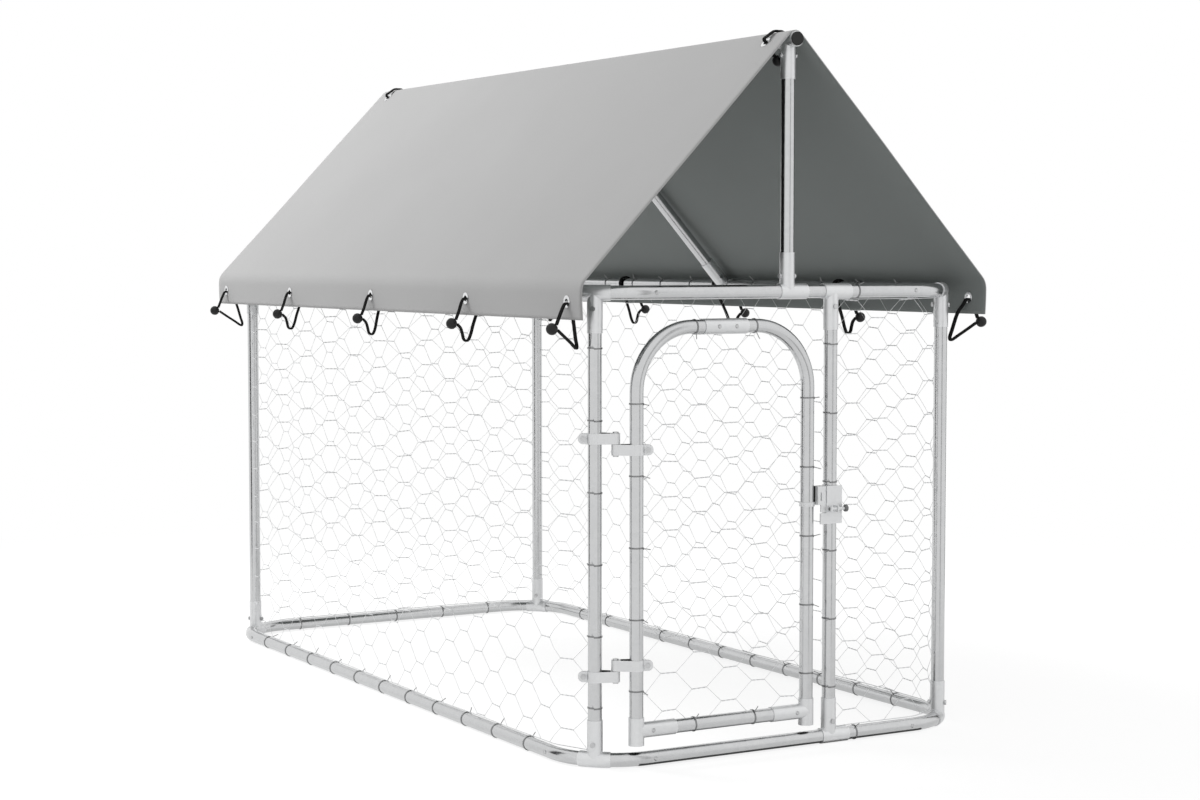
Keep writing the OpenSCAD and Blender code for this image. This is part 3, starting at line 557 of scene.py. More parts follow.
@dataclass(frozen=True)
class Braid(Finish):
    """Braided cover of an elastic cord, on a UV map of metres along and turns around.

    Two sets of yarns run around the cord in opposite turns, as sines of U plus and
    minus V.
    """

    lay: float = 0.009
    yarns: float = 8.0
    relief: float = 0.0005
    bump: float = 0.5
    specular: float = 0.12
    yarn_gloss: float = 0.15

    def inputs(self, shader: Shader) -> dict[str, object]:
        """Crosses the two sets of yarns.

        Args:
            shader: The shader being written.

        Returns:
            Values of the surface, by socket.
        """
        run, around, _ = shader.parts(shader.mapped())
        pitch = 2 * math.pi * self.yarns
        run, around = pitch / (self.lay * self.yarns) * run, pitch * around
        yarn = 0.5 + 0.5 * (run + around).sine().largest((run - around).sine())
        return {
            "Base Color": shader.blend(yarn, tint(self.dark), tint(self.light)),
            "Roughness": self.roughness - self.yarn_gloss * yarn,
            "Specular IOR Level": self.specular,
            "Normal": shader.bump(yarn, self.bump, self.relief),
        }


@dataclass(frozen=True)
class MouldedPlastic(Finish):
    """Moulded plastic with a fine grain and rubbed, slightly paler patches."""

    patch: float = 60.0
    grain: float = 1600.0
    relief: float = 0.0003
    bump: float = 0.15
    specular: float = 0.3
    rubbed_rough: float = 0.2

    def inputs(self, shader: Shader) -> dict[str, object]:
        """Mixes the rubbed patches and the grain.

        Args:
            shader: The shader being written.

        Returns:
            Values of the surface, by socket.
        """
        where = shader.place()
        rubbed = shader.noise(where, self.patch, detail=3.0)
        return {
            "Base Color": shader.blend(rubbed, tint(self.dark), tint(self.light)),
            "Roughness": self.roughness + self.rubbed_rough * rubbed,
            "Specular IOR Level": self.specular,
            "Normal": shader.bump(shader.noise(where, self.grain), self.bump, self.relief),
        }


FINISHES = {
    Slot.TUBE: Zinc("zinc_tube", 0.55, 0.66, 0.19),
    Slot.FITTING: Zinc("zinc_fitting", 0.72, 0.84, 0.38, metal=0.8),
    Slot.HARDWARE: Zinc("zinc_hardware", 0.48, 0.64, 0.28),
    Slot.WIRE: Zinc("zinc_wire", 0.80, 0.92, 0.40, metal=0.35, crystal=300.0),
    Slot.EYELET: Zinc("bright_eyelet", 0.74, 0.88, 0.20, crystal=260.0),
    Slot.ELASTIC: Braid("elastic_braid", 0.004, 0.014, 0.70),
    Slot.PLASTIC: MouldedPlastic("black_moulding", 0.010, 0.026, 0.38),
}
TIE_WIRE = Zinc("tie_wire", 0.28, 0.44, 0.30, crystal=300.0)
TARP_OUTSIDE = CoatedCloth("tarp_outside", 0.43, 0.53, 0.62)
TARP_INSIDE = CoatedCloth("tarp_inside", 0.22, 0.30, 0.66, hue=(0.93, 1.0, 0.98))
PLATE = Zinc("zinc_plate", 0.76, 0.88, 0.40, metal=0.5)
# Dark zinc for the slide bolt's knob, and painted shade on the bolt's tip
KNOB_AND_PAINTED_TIP_SHADE = Zinc("dark_knob_and_painted_tip_shade", 0.12, 0.24, 0.30)
# Pale plate for the catch's folded faces, painted near black behind a plane as shade
PAINTED_FOLD_SHADE = ZincWithPaintedShade("plate_with_painted_fold_shade", 0.76, 0.88, 0.40, metal=0.5, edge=-0.981)
# Near-black finish on the hinge straps' insides: painted shade
PAINTED_HINGE_SHADE = MouldedPlastic("painted_hinge_shade", 0.004, 0.012, 0.70)
HINGE_NODES = ("hinge_post_clamps", "hinge_door_clamps")
PLATE_NODES = (*HINGE_NODES, "latch_bracket", "latch_keeper", "latch_bolt")


# Part of a normal that counts as facing a way, and the lever that counts as facing inward
FACING = 0.9
INWARD = -1e-4


# Sizes that several pieces share


@dataclass(frozen=True)
class RunSizes:
    """Main sizes of the run, as in the part's source."""

    half_w: float = 0.478
    half_l: float = 0.972
    base_z: float = 0.0163
    top_z: float = 0.9603
    ridge_loop_z: float = 1.48005
    bend_r: float = 0.140
    rail_r: float = 0.0145
    post_r: float = 0.01425
    hem_z: float = 0.9073
    tarp_half_w: float = 0.507
    tarp_half_l: float = 1.000
    hinge_reach: float = 0.073
    door_w: float = 0.4174
    door_rail_z: float = 0.075
    door_drop: float = 0.070
    latch_reach: float = 0.0586
    knob_reach: float = 0.0179

    @property
    def post_x(self) -> float:
        """Distance of the corner posts from the middle, across the run."""
        return self.half_w - self.bend_r * (1 - math.cos(math.pi / 4))

    @property
    def post_y(self) -> float:
        """Distance of the corner posts from the middle, along the run."""
        return self.half_l - self.bend_r * (1 - math.cos(math.pi / 4))

    @property
    def door_left(self) -> float:
        """Centre of the hinge stile."""
        return -self.post_x + self.hinge_reach

    @property
    def door_right(self) -> float:
        """Centre of the latch stile."""
        return self.door_left + self.door_w

    @property
    def door_middle(self) -> float:
        """Middle of the door."""
        return (self.door_left + self.door_right) / 2

    @property
    def latch_post_x(self) -> float:
        """Centre of the latch post."""
        return self.door_right + self.latch_reach

    @property
    def knob_x(self) -> float:
        """Near end of the slide bolt's knob."""
        return self.latch_post_x + self.knob_reach


RUN = RunSizes()


def ride_as(piece: bpy.types.Object, body: Body, replaced: list[str]) -> None:
    """Ties a new piece to its body and the nodes that it stands for.

    Args:
        piece: The piece.
        body: The body that it moves with.
        replaced: Names of the nodes that it replaces.
    """
    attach(piece, body.value)
    if replaced:
        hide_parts(*replaced)
    LOG.info("%s: %d faces on %s", piece.name, len(piece.data.polygons), body.value)


# Pieces


@dataclass
class Netting:
    """Hexagonal wire netting: twisted level bars joined by single slanted wires.

    The bars of neighbouring columns are half a cell apart in height. Slow waves move the
    cells a little out of true.
    """

    cell_h: float = 0.0727
    pitch: float = 0.0735
    bar: float = 0.034
    wire_r: float = 0.00068
    slant_r: float = 0.00046
    twist_r: float = 0.00072
    twist_turns: float = 1.5
    edge_r: float = 0.0009
    wave: float = 0.0022
    low: float = 0.0335
    high: float = 0.9430
    door_low: float = 0.0893
    door_high: float = 0.8758
    door_arch: float = 0.1158
    door_row: float = 0.621
    door_column: float = -0.140
    sides: int = 5
    twist_rings: int = 8
    edge_step: float = 0.02
    halvings: int = 24
    shortest: float = 0.002
    across_waves: tuple[Point, ...] = ((23, 31, 0), (11, -17, 1.3))
    up_waves: tuple[Point, ...] = ((19, -27, 0.7), (13, 9, 2.1))
    long_bulge: Point = (7, 5, 0)
    short_bulge: Point = (17, -13, 0.4)
    short_share: float = 0.7

    def plan(self) -> Array:
        """Plan of the netting's strip from the hinge post around the back to the latch post."""
        x, y, r = RUN.half_w, RUN.half_l, RUN.bend_r
        px, py = RUN.post_x, RUN.post_y
        return np.array([
            [-px, -py], [-x, r - y], [-x, y - r], [-px, py], [r - x, y], [x - r, y], [px, py],
            [x, y - r], [x, r - y], [px, -py], [x - r, -y], [RUN.latch_post_x, -y],
        ])

    @staticmethod
    def numbers(limits: Pair, start: float, pitch: float) -> Array:
        """Numbers of the cells that cover a stretch, counted from a start."""
        low, high = ((limit - start) / pitch for limit in limits)
        return np.arange(math.floor(low) - 1, math.ceil(high) + 2)

    def lattice(self, u: Pair, v: Pair, origin: Pair) -> Array:
        """Ends of the wires of a flat piece of netting.

        Args:
            u: Limits across.
            v: Limits in height.
            origin: Middle of one level bar.

        Returns:
            Bars and slants as pieces by two ends by two, with the bars in the first third.
        """
        i, j = self.numbers(u, origin[0], self.pitch), self.numbers(v, origin[1], self.cell_h)
        column, row = (a.ravel() for a in np.meshgrid(i, j, indexing="ij"))
        middle = np.stack([
            origin[0] + column * self.pitch,
            origin[1] + (row + np.abs(column) % 2 / 2) * self.cell_h,
        ], -1)
        half = np.array([self.bar / 2, 0])
        reach = np.array([self.pitch - self.bar, 0])
        rise = np.array([0, self.cell_h / 2])
        bars = np.stack([middle - half, middle + half], 1)
        ups = np.stack([middle + half, middle + half + reach + rise], 1)
        downs = np.stack([middle + half, middle + half + reach - rise], 1)
        return np.stack([bars, ups, downs])

    def waved(self, flat: Array) -> Array:
        """Moves points of a flat net by slow waves, within its plane."""
        u, v = flat[..., 0], flat[..., 1]
        shift = [waves(u, v, self.across_waves), waves(u, v, self.up_waves)]
        return flat + self.wave * np.stack(shift, -1)

    def bulge(self, flat: Array) -> Array:
        """How far a point of the flat net stands out of its plane."""
        u, v = flat[..., 0], flat[..., 1]
        short = self.short_share * waves(u, v, (self.short_bulge,))
        return self.wave * (waves(u, v, (self.long_bulge,)) + short)

    def clipped(self, wires: Array, depth: object) -> Array:
        """Cuts straight wires to the inside of a convex outline.

        The crossing of a wire that has one end outside is found by halving.

        Args:
            wires: Wires as pieces by two ends by two.
            depth: Function of points that is positive inside the outline.

        Returns:
            The wires or parts of wires that lie inside.
        """
        inside = depth(wires) > 0
        kept = wires[inside.any(1)].copy()
        inside = inside[inside.any(1)]
        good = np.where(inside[:, :1], kept[:, 0], kept[:, 1])
        bad = np.where(inside[:, :1], kept[:, 1], kept[:, 0])
        cut = ~inside.all(1)
        low, high = good.copy(), bad.copy()
        for _ in range(self.halvings):
            middle = (low + high) / 2
            within = (depth(middle) > 0)[:, None]
            low, high = np.where(within, middle, low), np.where(within, high, middle)
        far = np.where(cut[:, None], low, bad)
        result = np.stack([good, far], 1)
        return result[np.linalg.norm(far - good, axis=1) > self.shortest]

    def wires(self, parts: Array, place: object, depth: object) -> Shape:
        """Solid wires of a piece of netting.

        Args:
            parts: Bars, rising slants and falling slants from the lattice.
            place: Function from points of the flat net to points and normals in space.
            depth: Function that is positive inside the outline.

        Returns:
            The wires.
        """
        bars = self.clipped(self.waved(parts[0]), depth)
        slants = self.clipped(self.waved(parts[1:].reshape(-1, 2, 2)), depth)
        ends, normal = place(bars)
        pairs = twisted(
            ends[:, 0], ends[:, 1], normal[:, 0], self.twist_r, self.twist_turns, self.twist_rings
        )
        share = np.linspace(0, 1, 3)[None, :, None]
        lines, _ = place(slants[:, :1] + share * (slants[:, 1:] - slants[:, :1]))
        _, out = place(slants)
        return joined([
            swept(pairs, self.wire_r, self.sides, UP),
            swept(lines, self.slant_r, self.sides, out[:, 0]),
        ])

    def panel(self, line: Array, start: float, edges: Pair, bar: Pair, arch: float = 0.0) -> Shape:
        """Netting over a line on the plan, from the tube at its start to the one at its end.

        Its outline is a rectangle, whose upper corners an arch may round. Without an arch
        it has a thicker wire along its lower and its upper edge.

        Args:
            line: Points of the line.
            start: Distance that counts for the first of them.
            edges: Heights of the lower and the upper edge.
            bar: Distance and height of the middle of one level bar.
            arch: Radius of the arch.

        Returns:
            The wires.
        """
        run, tangent = start + lengths(line), unit(np.diff(line, axis=0))
        reach, (low, high) = (run[0] + RUN.post_r, run[-1] - RUN.post_r), edges
        middle, half = sum(reach) / 2, (reach[1] - reach[0]) / 2

        def place(flat: Array) -> tuple[Array, Array]:
            """Places points of the flat net in space, with the net's normals."""
            s, z = flat[..., 0], flat[..., 1]
            leg = np.clip(np.searchsorted(run, s, side="right") - 1, 0, len(tangent) - 1)
            normal = spots(tangent[leg, 1], -tangent[leg, 0], 0.0)
            spot = spots(np.interp(s, run, line[:, 0]), np.interp(s, run, line[:, 1]), z)
            return spot + self.bulge(flat)[..., None] * normal, normal

        def depth(flat: Array) -> Array:
            """Distance of flat points from the outline."""
            u, v = np.abs(flat[..., 0] - middle), flat[..., 1]
            edge = np.minimum.reduce([half - u, v - low, high - v])
            past = np.maximum([u - half + arch, v - high + arch], 0)
            return np.minimum(edge, arch - np.hypot(*past)) if arch else edge

        wires = self.wires(self.lattice(reach, edges, bar), place, depth)
        if arch:
            return wires
        along = np.linspace(*reach, max(2, int((reach[1] - reach[0]) / self.edge_step)))
        rims, _ = place(np.stack(np.broadcast_arrays(along, np.array(edges)[:, None]), -1))
        return joined([wires, swept(rims, self.edge_r, self.sides, UP)])

    def build(self, finish: bpy.types.Material) -> None:
        """Makes the netting around the run and in the door.

        Args:
            finish: Its material.
        """
        plan = self.plan()
        run, edges = lengths(plan), (self.low, self.high)
        for name, first, last, replaced in (
            ("netting_left", 0, 3, ["net_left"]),
            ("netting_back", 3, 6, ["net_back"]),
            ("netting_right", 6, 9, ["net_right"]),
            ("netting_front", 9, 11, ["net_front", "corner_nets"]),
        ):
            wall = self.panel(plan[first : last + 1], run[first], edges, (0.0, self.low))
            ride_as(wall.object(name, [finish]), Body.FRAME, replaced)
        stiles = np.array([[RUN.door_left, -RUN.half_l], [RUN.door_right, -RUN.half_l]])
        edges, bar = (self.door_low, self.door_high), (self.door_column, self.door_row)
        door = self.panel(stiles, RUN.door_left, edges, bar, self.door_arch)
        ride_as(door.object("netting_door", [finish]), Body.DOOR, ["door_net"])


@dataclass
class Tarpaulin:
    """Roof sheet: skirts, rounded eaves, two slopes and the bend over the ridge.

    The profile is carried along the run. It sinks a little between the ridge and the
    eaves, and the hems swing between the eyelets.
    """

    eave_r: float = 0.040
    ridge_r: float = 0.019
    eave_z: float = 0.9623
    ridge_centre_z: float = 1.47865
    thickness: float = 0.0013
    hem_fold: float = 0.022
    hem_extra: float = 0.0008
    sag: float = 0.0035
    ripple: float = 0.0010
    hem_swing: float = 0.0022
    eyelet_z: float = 0.9433
    eyelet_bore: float = 0.0080
    side_rows: tuple[float, ...] = (-0.942, -0.495, 0.0, 0.495, 0.942)
    ridge_rows: tuple[float, ...] = (-0.935, 0.935)
    ridge_eyelet: float = 0.030
    across: int = 221
    along: int = 161
    bend_steps: int = 40
    belly_in: float = 0.10
    belly_less: float = 0.14
    skirt_h: float = 0.055
    bay: float = 0.495
    end_power: int = 8
    ripples: tuple[Point, ...] = ((9, 5, 0), (4.3, -7, 1.1))
    punch_reach: float = 0.008
    punch_sides: int = 20

    @property
    def eave_x(self) -> float:
        """Centre of the eave bend, out from the middle."""
        return RUN.tarp_half_w - self.eave_r

    @property
    def slope(self) -> float:
        """Angle of a slope from level."""
        rise = self.ridge_centre_z - self.eave_z
        reach = math.hypot(self.eave_x, rise)
        return math.atan2(rise, self.eave_x) - math.asin((self.eave_r - self.ridge_r) / reach)

    def profile(self) -> Array:
        """The outer face across the run, in equal steps from the left hem to the right one."""
        turn = math.pi / 2 - self.slope
        arcs = [[[RUN.tarp_half_w, RUN.hem_z]]]
        for x, z, r, start, end in (
            (self.eave_x, self.eave_z, self.eave_r, 0, turn),
            (0.0, self.ridge_centre_z, self.ridge_r, turn, math.pi / 2),
        ):
            bend = np.linspace(start, end, self.bend_steps)
            arcs.append(np.stack([x + r * np.cos(bend), z + r * np.sin(bend)], -1))
        half = np.concatenate(arcs)
        line = np.concatenate([half * [-1, 1], half[-2::-1]])
        run = lengths(line)
        step = np.linspace(0, run[-1], self.across)
        return spots(np.interp(step, run, line[:, 0]), np.interp(step, run, line[:, 1]), step)

    def sheet(self) -> Shape:
        """The closed sheet before its eyelet holes are cut."""
        line = self.profile()
        x, z, run = line.T
        length = run[-1]
        y = np.linspace(-RUN.tarp_half_l, RUN.tarp_half_l, self.along)
        along = unit(np.gradient(line[:, :2], axis=0))
        normal = np.stack([-along[:, 1], np.zeros(self.across), along[:, 0]], -1)
        from_hem = np.minimum(run, length - run)
        span = np.clip((from_hem - self.belly_in) / (length / 2 - self.belly_less), 0, 1)
        belly = np.sin(math.pi * span) ** 2
        skirt = np.clip(1 - from_hem / self.skirt_h, 0, 1) ** 2
        row = y[:, None]
        bay = np.cos(2 * math.pi * row / self.bay)
        ends = 1 - (np.abs(row) / RUN.tarp_half_l) ** self.end_power
        move = -self.sag * belly * (1 - 0.5 * np.abs(np.sin(math.pi * row))) * ends
        move = move + self.ripple * belly * waves(row, run, self.ripples)
        move = move - self.hem_swing * skirt * (0.5 + 0.5 * bay)
        outer = spots(x, row, z) + move[..., None] * normal
        end_fold = np.abs(row) > RUN.tarp_half_l - self.hem_fold
        fold = np.maximum(from_hem < self.hem_fold, end_fold)
        inner = outer - (self.thickness + self.hem_extra * fold)[..., None] * normal
        ring = np.concatenate([outer, inner[:, ::-1]], 1)
        cols = 2 * self.across
        walls = grid_faces(self.along, cols, True)
        k = np.arange(self.across - 1)
        front = np.stack([k + 1, k, cols - 1 - k, cols - 2 - k], -1)
        back = front[:, ::-1] + (self.along - 1) * cols
        u = np.concatenate([run, run[::-1]])
        grid_uv = np.stack(np.broadcast_arrays(u, row), -1).reshape(-1, 2)
        faces = np.concatenate([walls, front, back])
        column = np.tile(np.arange(cols), self.along - 1)
        column = np.concatenate([column, np.zeros(2 * len(k), int)])
        inside = (column >= self.across - 1).astype(int)
        return Shape(ring.reshape(-1, 3), [faces], grid_uv[faces].reshape(-1, 2), inside)

    def punches(self) -> Shape:
        """Round bars where the eyelets go through the sheet."""
        slope_z = self.eave_z + self.eave_r / math.cos(self.slope)
        slope_z += (self.eave_x - self.ridge_eyelet) * math.tan(self.slope)
        lean = self.punch_reach * np.array([math.sin(self.slope), 0.0, math.cos(self.slope)])
        level = self.punch_reach * np.array([1.0, 0.0, 0.0])
        bars = []
        for rows, x, z, way in (
            (self.side_rows, RUN.tarp_half_w, self.eyelet_z, level),
            (self.ridge_rows, self.ridge_eyelet, slope_z, lean),
        ):
            for s in (-1, 1):
                middle, reach = spots(s * x, np.array(rows), z), way * [s, 1, 1]
                bars.append(np.stack([middle - reach, middle + reach], 1))
        shape = swept(np.concatenate(bars), self.eyelet_bore, self.punch_sides, ALONG_RUN)
        shape.uv = None
        return shape

    def build(self, outside: bpy.types.Material, inside: bpy.types.Material) -> None:
        """Makes the sheet, with its eyelet holes cut.

        Args:
            outside: Material of the outer side.
            inside: Material of the inner side.
        """
        raw = self.sheet().object("tarp_raw", [outside, inside])
        punch = self.punches().object("tarp_punch", [inside])
        cut = raw.modifiers.new("eyelets", "BOOLEAN")
        cut.operation, cut.solver, cut.object = "DIFFERENCE", "EXACT", punch
        cut_raw = raw.evaluated_get(bpy.context.evaluated_depsgraph_get())
        mesh = bpy.data.meshes.new_from_object(cut_raw)
        mesh.name = "tarp_sheet"
        for spare in (raw, punch):
            bpy.data.objects.remove(spare)
        sheet = linked("tarp_sheet", mesh)
        ride_as(sheet, Body.FRAME, ["tarp"])
        flat = (float(self.profile()[-1, 2]), 2 * RUN.tarp_half_l)


@dataclass
class Bungees:
    """Ball bungees: an elastic loop whose two strands lie side by side, and its ball.

    The routes are those of the part's source, in metres. Side routes hold the distance
    out from the side rail, the share of a step aside and the height over the rail.
    """

    strand_r: float = 0.0025
    strand_gap: float = 0.0027
    wrap_gap: float = 0.0004
    cord_r: float = 0.002
    sleeve_r: float = 0.0163
    aside: float = 0.022
    ball_r: float = 0.012
    ball_out: float = 0.541
    ball_z: float = 0.8893
    side_rows: tuple[float, ...] = (-0.495, 0.0, 0.495)
    corner_row: float = 0.942
    ridge_row: float = 0.935
    ridge_ball_drop: float = 0.041
    wrap_turns: tuple[float, ...] = (6, 40, 80, 120, 155, 190)
    wrap_lean: float = 20.0
    steps: int = 5
    sides: int = 8
    ball_rings: int = 22
    ball_sides: int = 24
    hole_turn: float = 0.16
    foot_turn: float = 0.05
    seam_h: float = 0.0003
    seam_w: float = 0.06
    ball_flat: float = 0.93
    side_out: Array = field(default_factory=lambda: np.array([
        [53, 0, -63], [46, 0, -46], [40, 0, -28], [35, 0, -19], [28, 0, -16], [24, 0.1, -13.5],
        [21.5, 0.6, -5]]) * [0.001, 1, 0.001])
    side_back: Array = field(default_factory=lambda: np.array([
        [-8, 0.85, -24], [2, 0.55, -48], [11, 0.27, -73], [16.5, 0.1, -92], [21, 0.03, -103],
        [25, 0, -107.8], [31, 0, -107.8], [35, 0, -103], [37.5, 0, -93], [41.5, 0, -81],
        [50, 0, -72]]) * [0.001, 1, 0.001])
    corner: Array = field(default_factory=lambda: np.array([
        [24, 0, -10], [17, 0, 7], [10, 0, 23], [5, 0, 31], [-1, 0, 32.2], [-7, 2, 31], [-14, 6, 18],
        [-22, 14, 0], [-31, 21, -37], [-35, 23, -52], [-32, 21, -58], [-17, 14, -47], [3, 7, -33],
        [21, 1, -20]]) * 0.001)
    ridge_half: Array = field(default_factory=lambda: np.array([
        [9.5, -32.5], [14, -26], [19, -17], [24, -10], [30, -4.4], [34.5, 0], [34, 4], [28, 8],
        [20, 13.5], [10, 19.5]]) * 0.001)
    ridge_top: float = 0.020

    def side_route(self, s: int, y: float) -> Array:
        """Route of a loop on a side rail.

        Args:
            s: Side, -1 or 1.
            y: Place along the run.

        Returns:
            Points of the route.
        """
        held = self.sleeve_r if y == 0 else RUN.rail_r
        r = (held + self.wrap_gap + self.cord_r) / math.cos(math.radians(self.wrap_lean))
        turn = np.radians(self.wrap_turns)
        wrap = spots(r * np.cos(turn), 1.0, r * np.sin(turn))
        out, share, up = np.concatenate([self.side_out, wrap, self.side_back]).T
        aside = self.aside if y == 0 else 0.0
        return spots(s * (RUN.half_w + out), y + aside * share, RUN.top_z + up)

    def corner_route(self, s: int, t: int) -> Array:
        """Route of a loop at a corner, on side s and end t."""
        out, back, up = self.corner.T
        return spots(s * (RUN.tarp_half_w + out), t * (self.corner_row - back), RUN.hem_z + up)

    def ridge_route(self, t: int) -> Array:
        """Route of a loop over the ridge, at end t."""
        half = self.ridge_half
        out, up = np.concatenate([half * [-1, 1], [[0, self.ridge_top]], half[::-1]]).T
        return spots(out, t * self.ridge_row, RUN.ridge_loop_z + up)

    def places(self) -> dict[str, tuple[Array, Array]]:
        """Routes and ball centres of all the bungees, by name."""
        made = {}
        for s, side in ((-1, "left"), (1, "right")):
            for number, y in enumerate(self.side_rows):
                ball = np.array([s * self.ball_out, y, self.ball_z])
                made[f"bungee_{side}_{number + 2}"] = (self.side_route(s, y), ball)
            for t, number in ((-1, 1), (1, 5)):
                ball = np.array([s * self.ball_out, t * self.corner_row, self.ball_z])
                made[f"bungee_{side}_{number}"] = (self.corner_route(s, t), ball)
        for t, end in ((-1, "front"), (1, "back")):
            ball = np.array([0, t * self.ridge_row, RUN.ridge_loop_z - self.ridge_ball_drop])
            made[f"bungee_ridge_{end}"] = (self.ridge_route(t), ball)
        return made

    def strands(self, route: Array) -> Shape:
        """The two strands of a loop, side by side along the run's length.

        Args:
            route: Points of the loop's route.

        Returns:
            The strands.
        """
        line = smooth(route, self.steps)
        level, way = np.array(ALONG_RUN), unit(np.gradient(line, axis=0))
        apart = unit(level - (way @ level)[:, None] * way)
        pair = np.stack([line - self.strand_gap * apart, line + self.strand_gap * apart])
        return swept(pair, self.strand_r, self.sides, level)

    def ball(self, centre: Array, neck: Array) -> Shape:
        """A moulded ball with a flat around its cord hole and a raised parting line.

        Its radius is that of a sphere, cut flat near the hole, plus a narrow ridge at the
        widest ring.

        Args:
            centre: Centre of the ball.
            neck: Point that the hole faces.

        Returns:
            The ball.
        """
        rings, sides = self.ball_rings, self.ball_sides
        fall = np.linspace(self.hole_turn, math.pi - self.foot_turn, rings)
        seam = self.seam_h * np.exp(-(((fall - math.pi / 2) / self.seam_w) ** 2))
        out = self.ball_r * np.sin(fall) + seam
        along = np.minimum(self.ball_r * np.cos(fall), self.ball_flat * self.ball_r)
        axis = unit(neck - centre)
        side = unit(np.cross(axis, ALONG_RUN))
        up = np.cross(axis, side)
        turn = np.arange(sides) * 2 * math.pi / sides
        ring = np.cos(turn)[:, None] * side + np.sin(turn)[:, None] * up
        points = centre + along[:, None, None] * axis + out[:, None, None] * ring[None]
        walls = grid_faces(rings, sides, True)[:, ::-1]
        caps = np.stack([np.arange(sides), np.arange(sides)[::-1] + (rings - 1) * sides])
        return Shape(points.reshape(-1, 3), [walls, caps])

    def build(self, cord: bpy.types.Material, plastic: bpy.types.Material) -> None:
        """Makes every loop and the balls.

        Args:
            cord: Material of the loops.
            plastic: Material of the balls.
        """
        balls = []
        for number, (name, (route, centre)) in enumerate(self.places().items()):
            loop = self.strands(route).object(name, [cord])
            ride_as(loop, Body.FRAME, ["bungee_loops"] if number == 0 else [])
            balls.append(self.ball(centre, (route[0] + route[-1]) / 2))
        piece = joined(balls).object("bungee_moulded_balls", [plastic])
        ride_as(piece, Body.FRAME, ["bungee_balls"])


@dataclass
class Tie:
    """A set of alike wire ties: their places, the way of their tube and the ways they face."""

    spots: Array
    axis: Point
    out: Point
    around: Point
    tube_r: float


Blocks = tuple[Pair, ...]


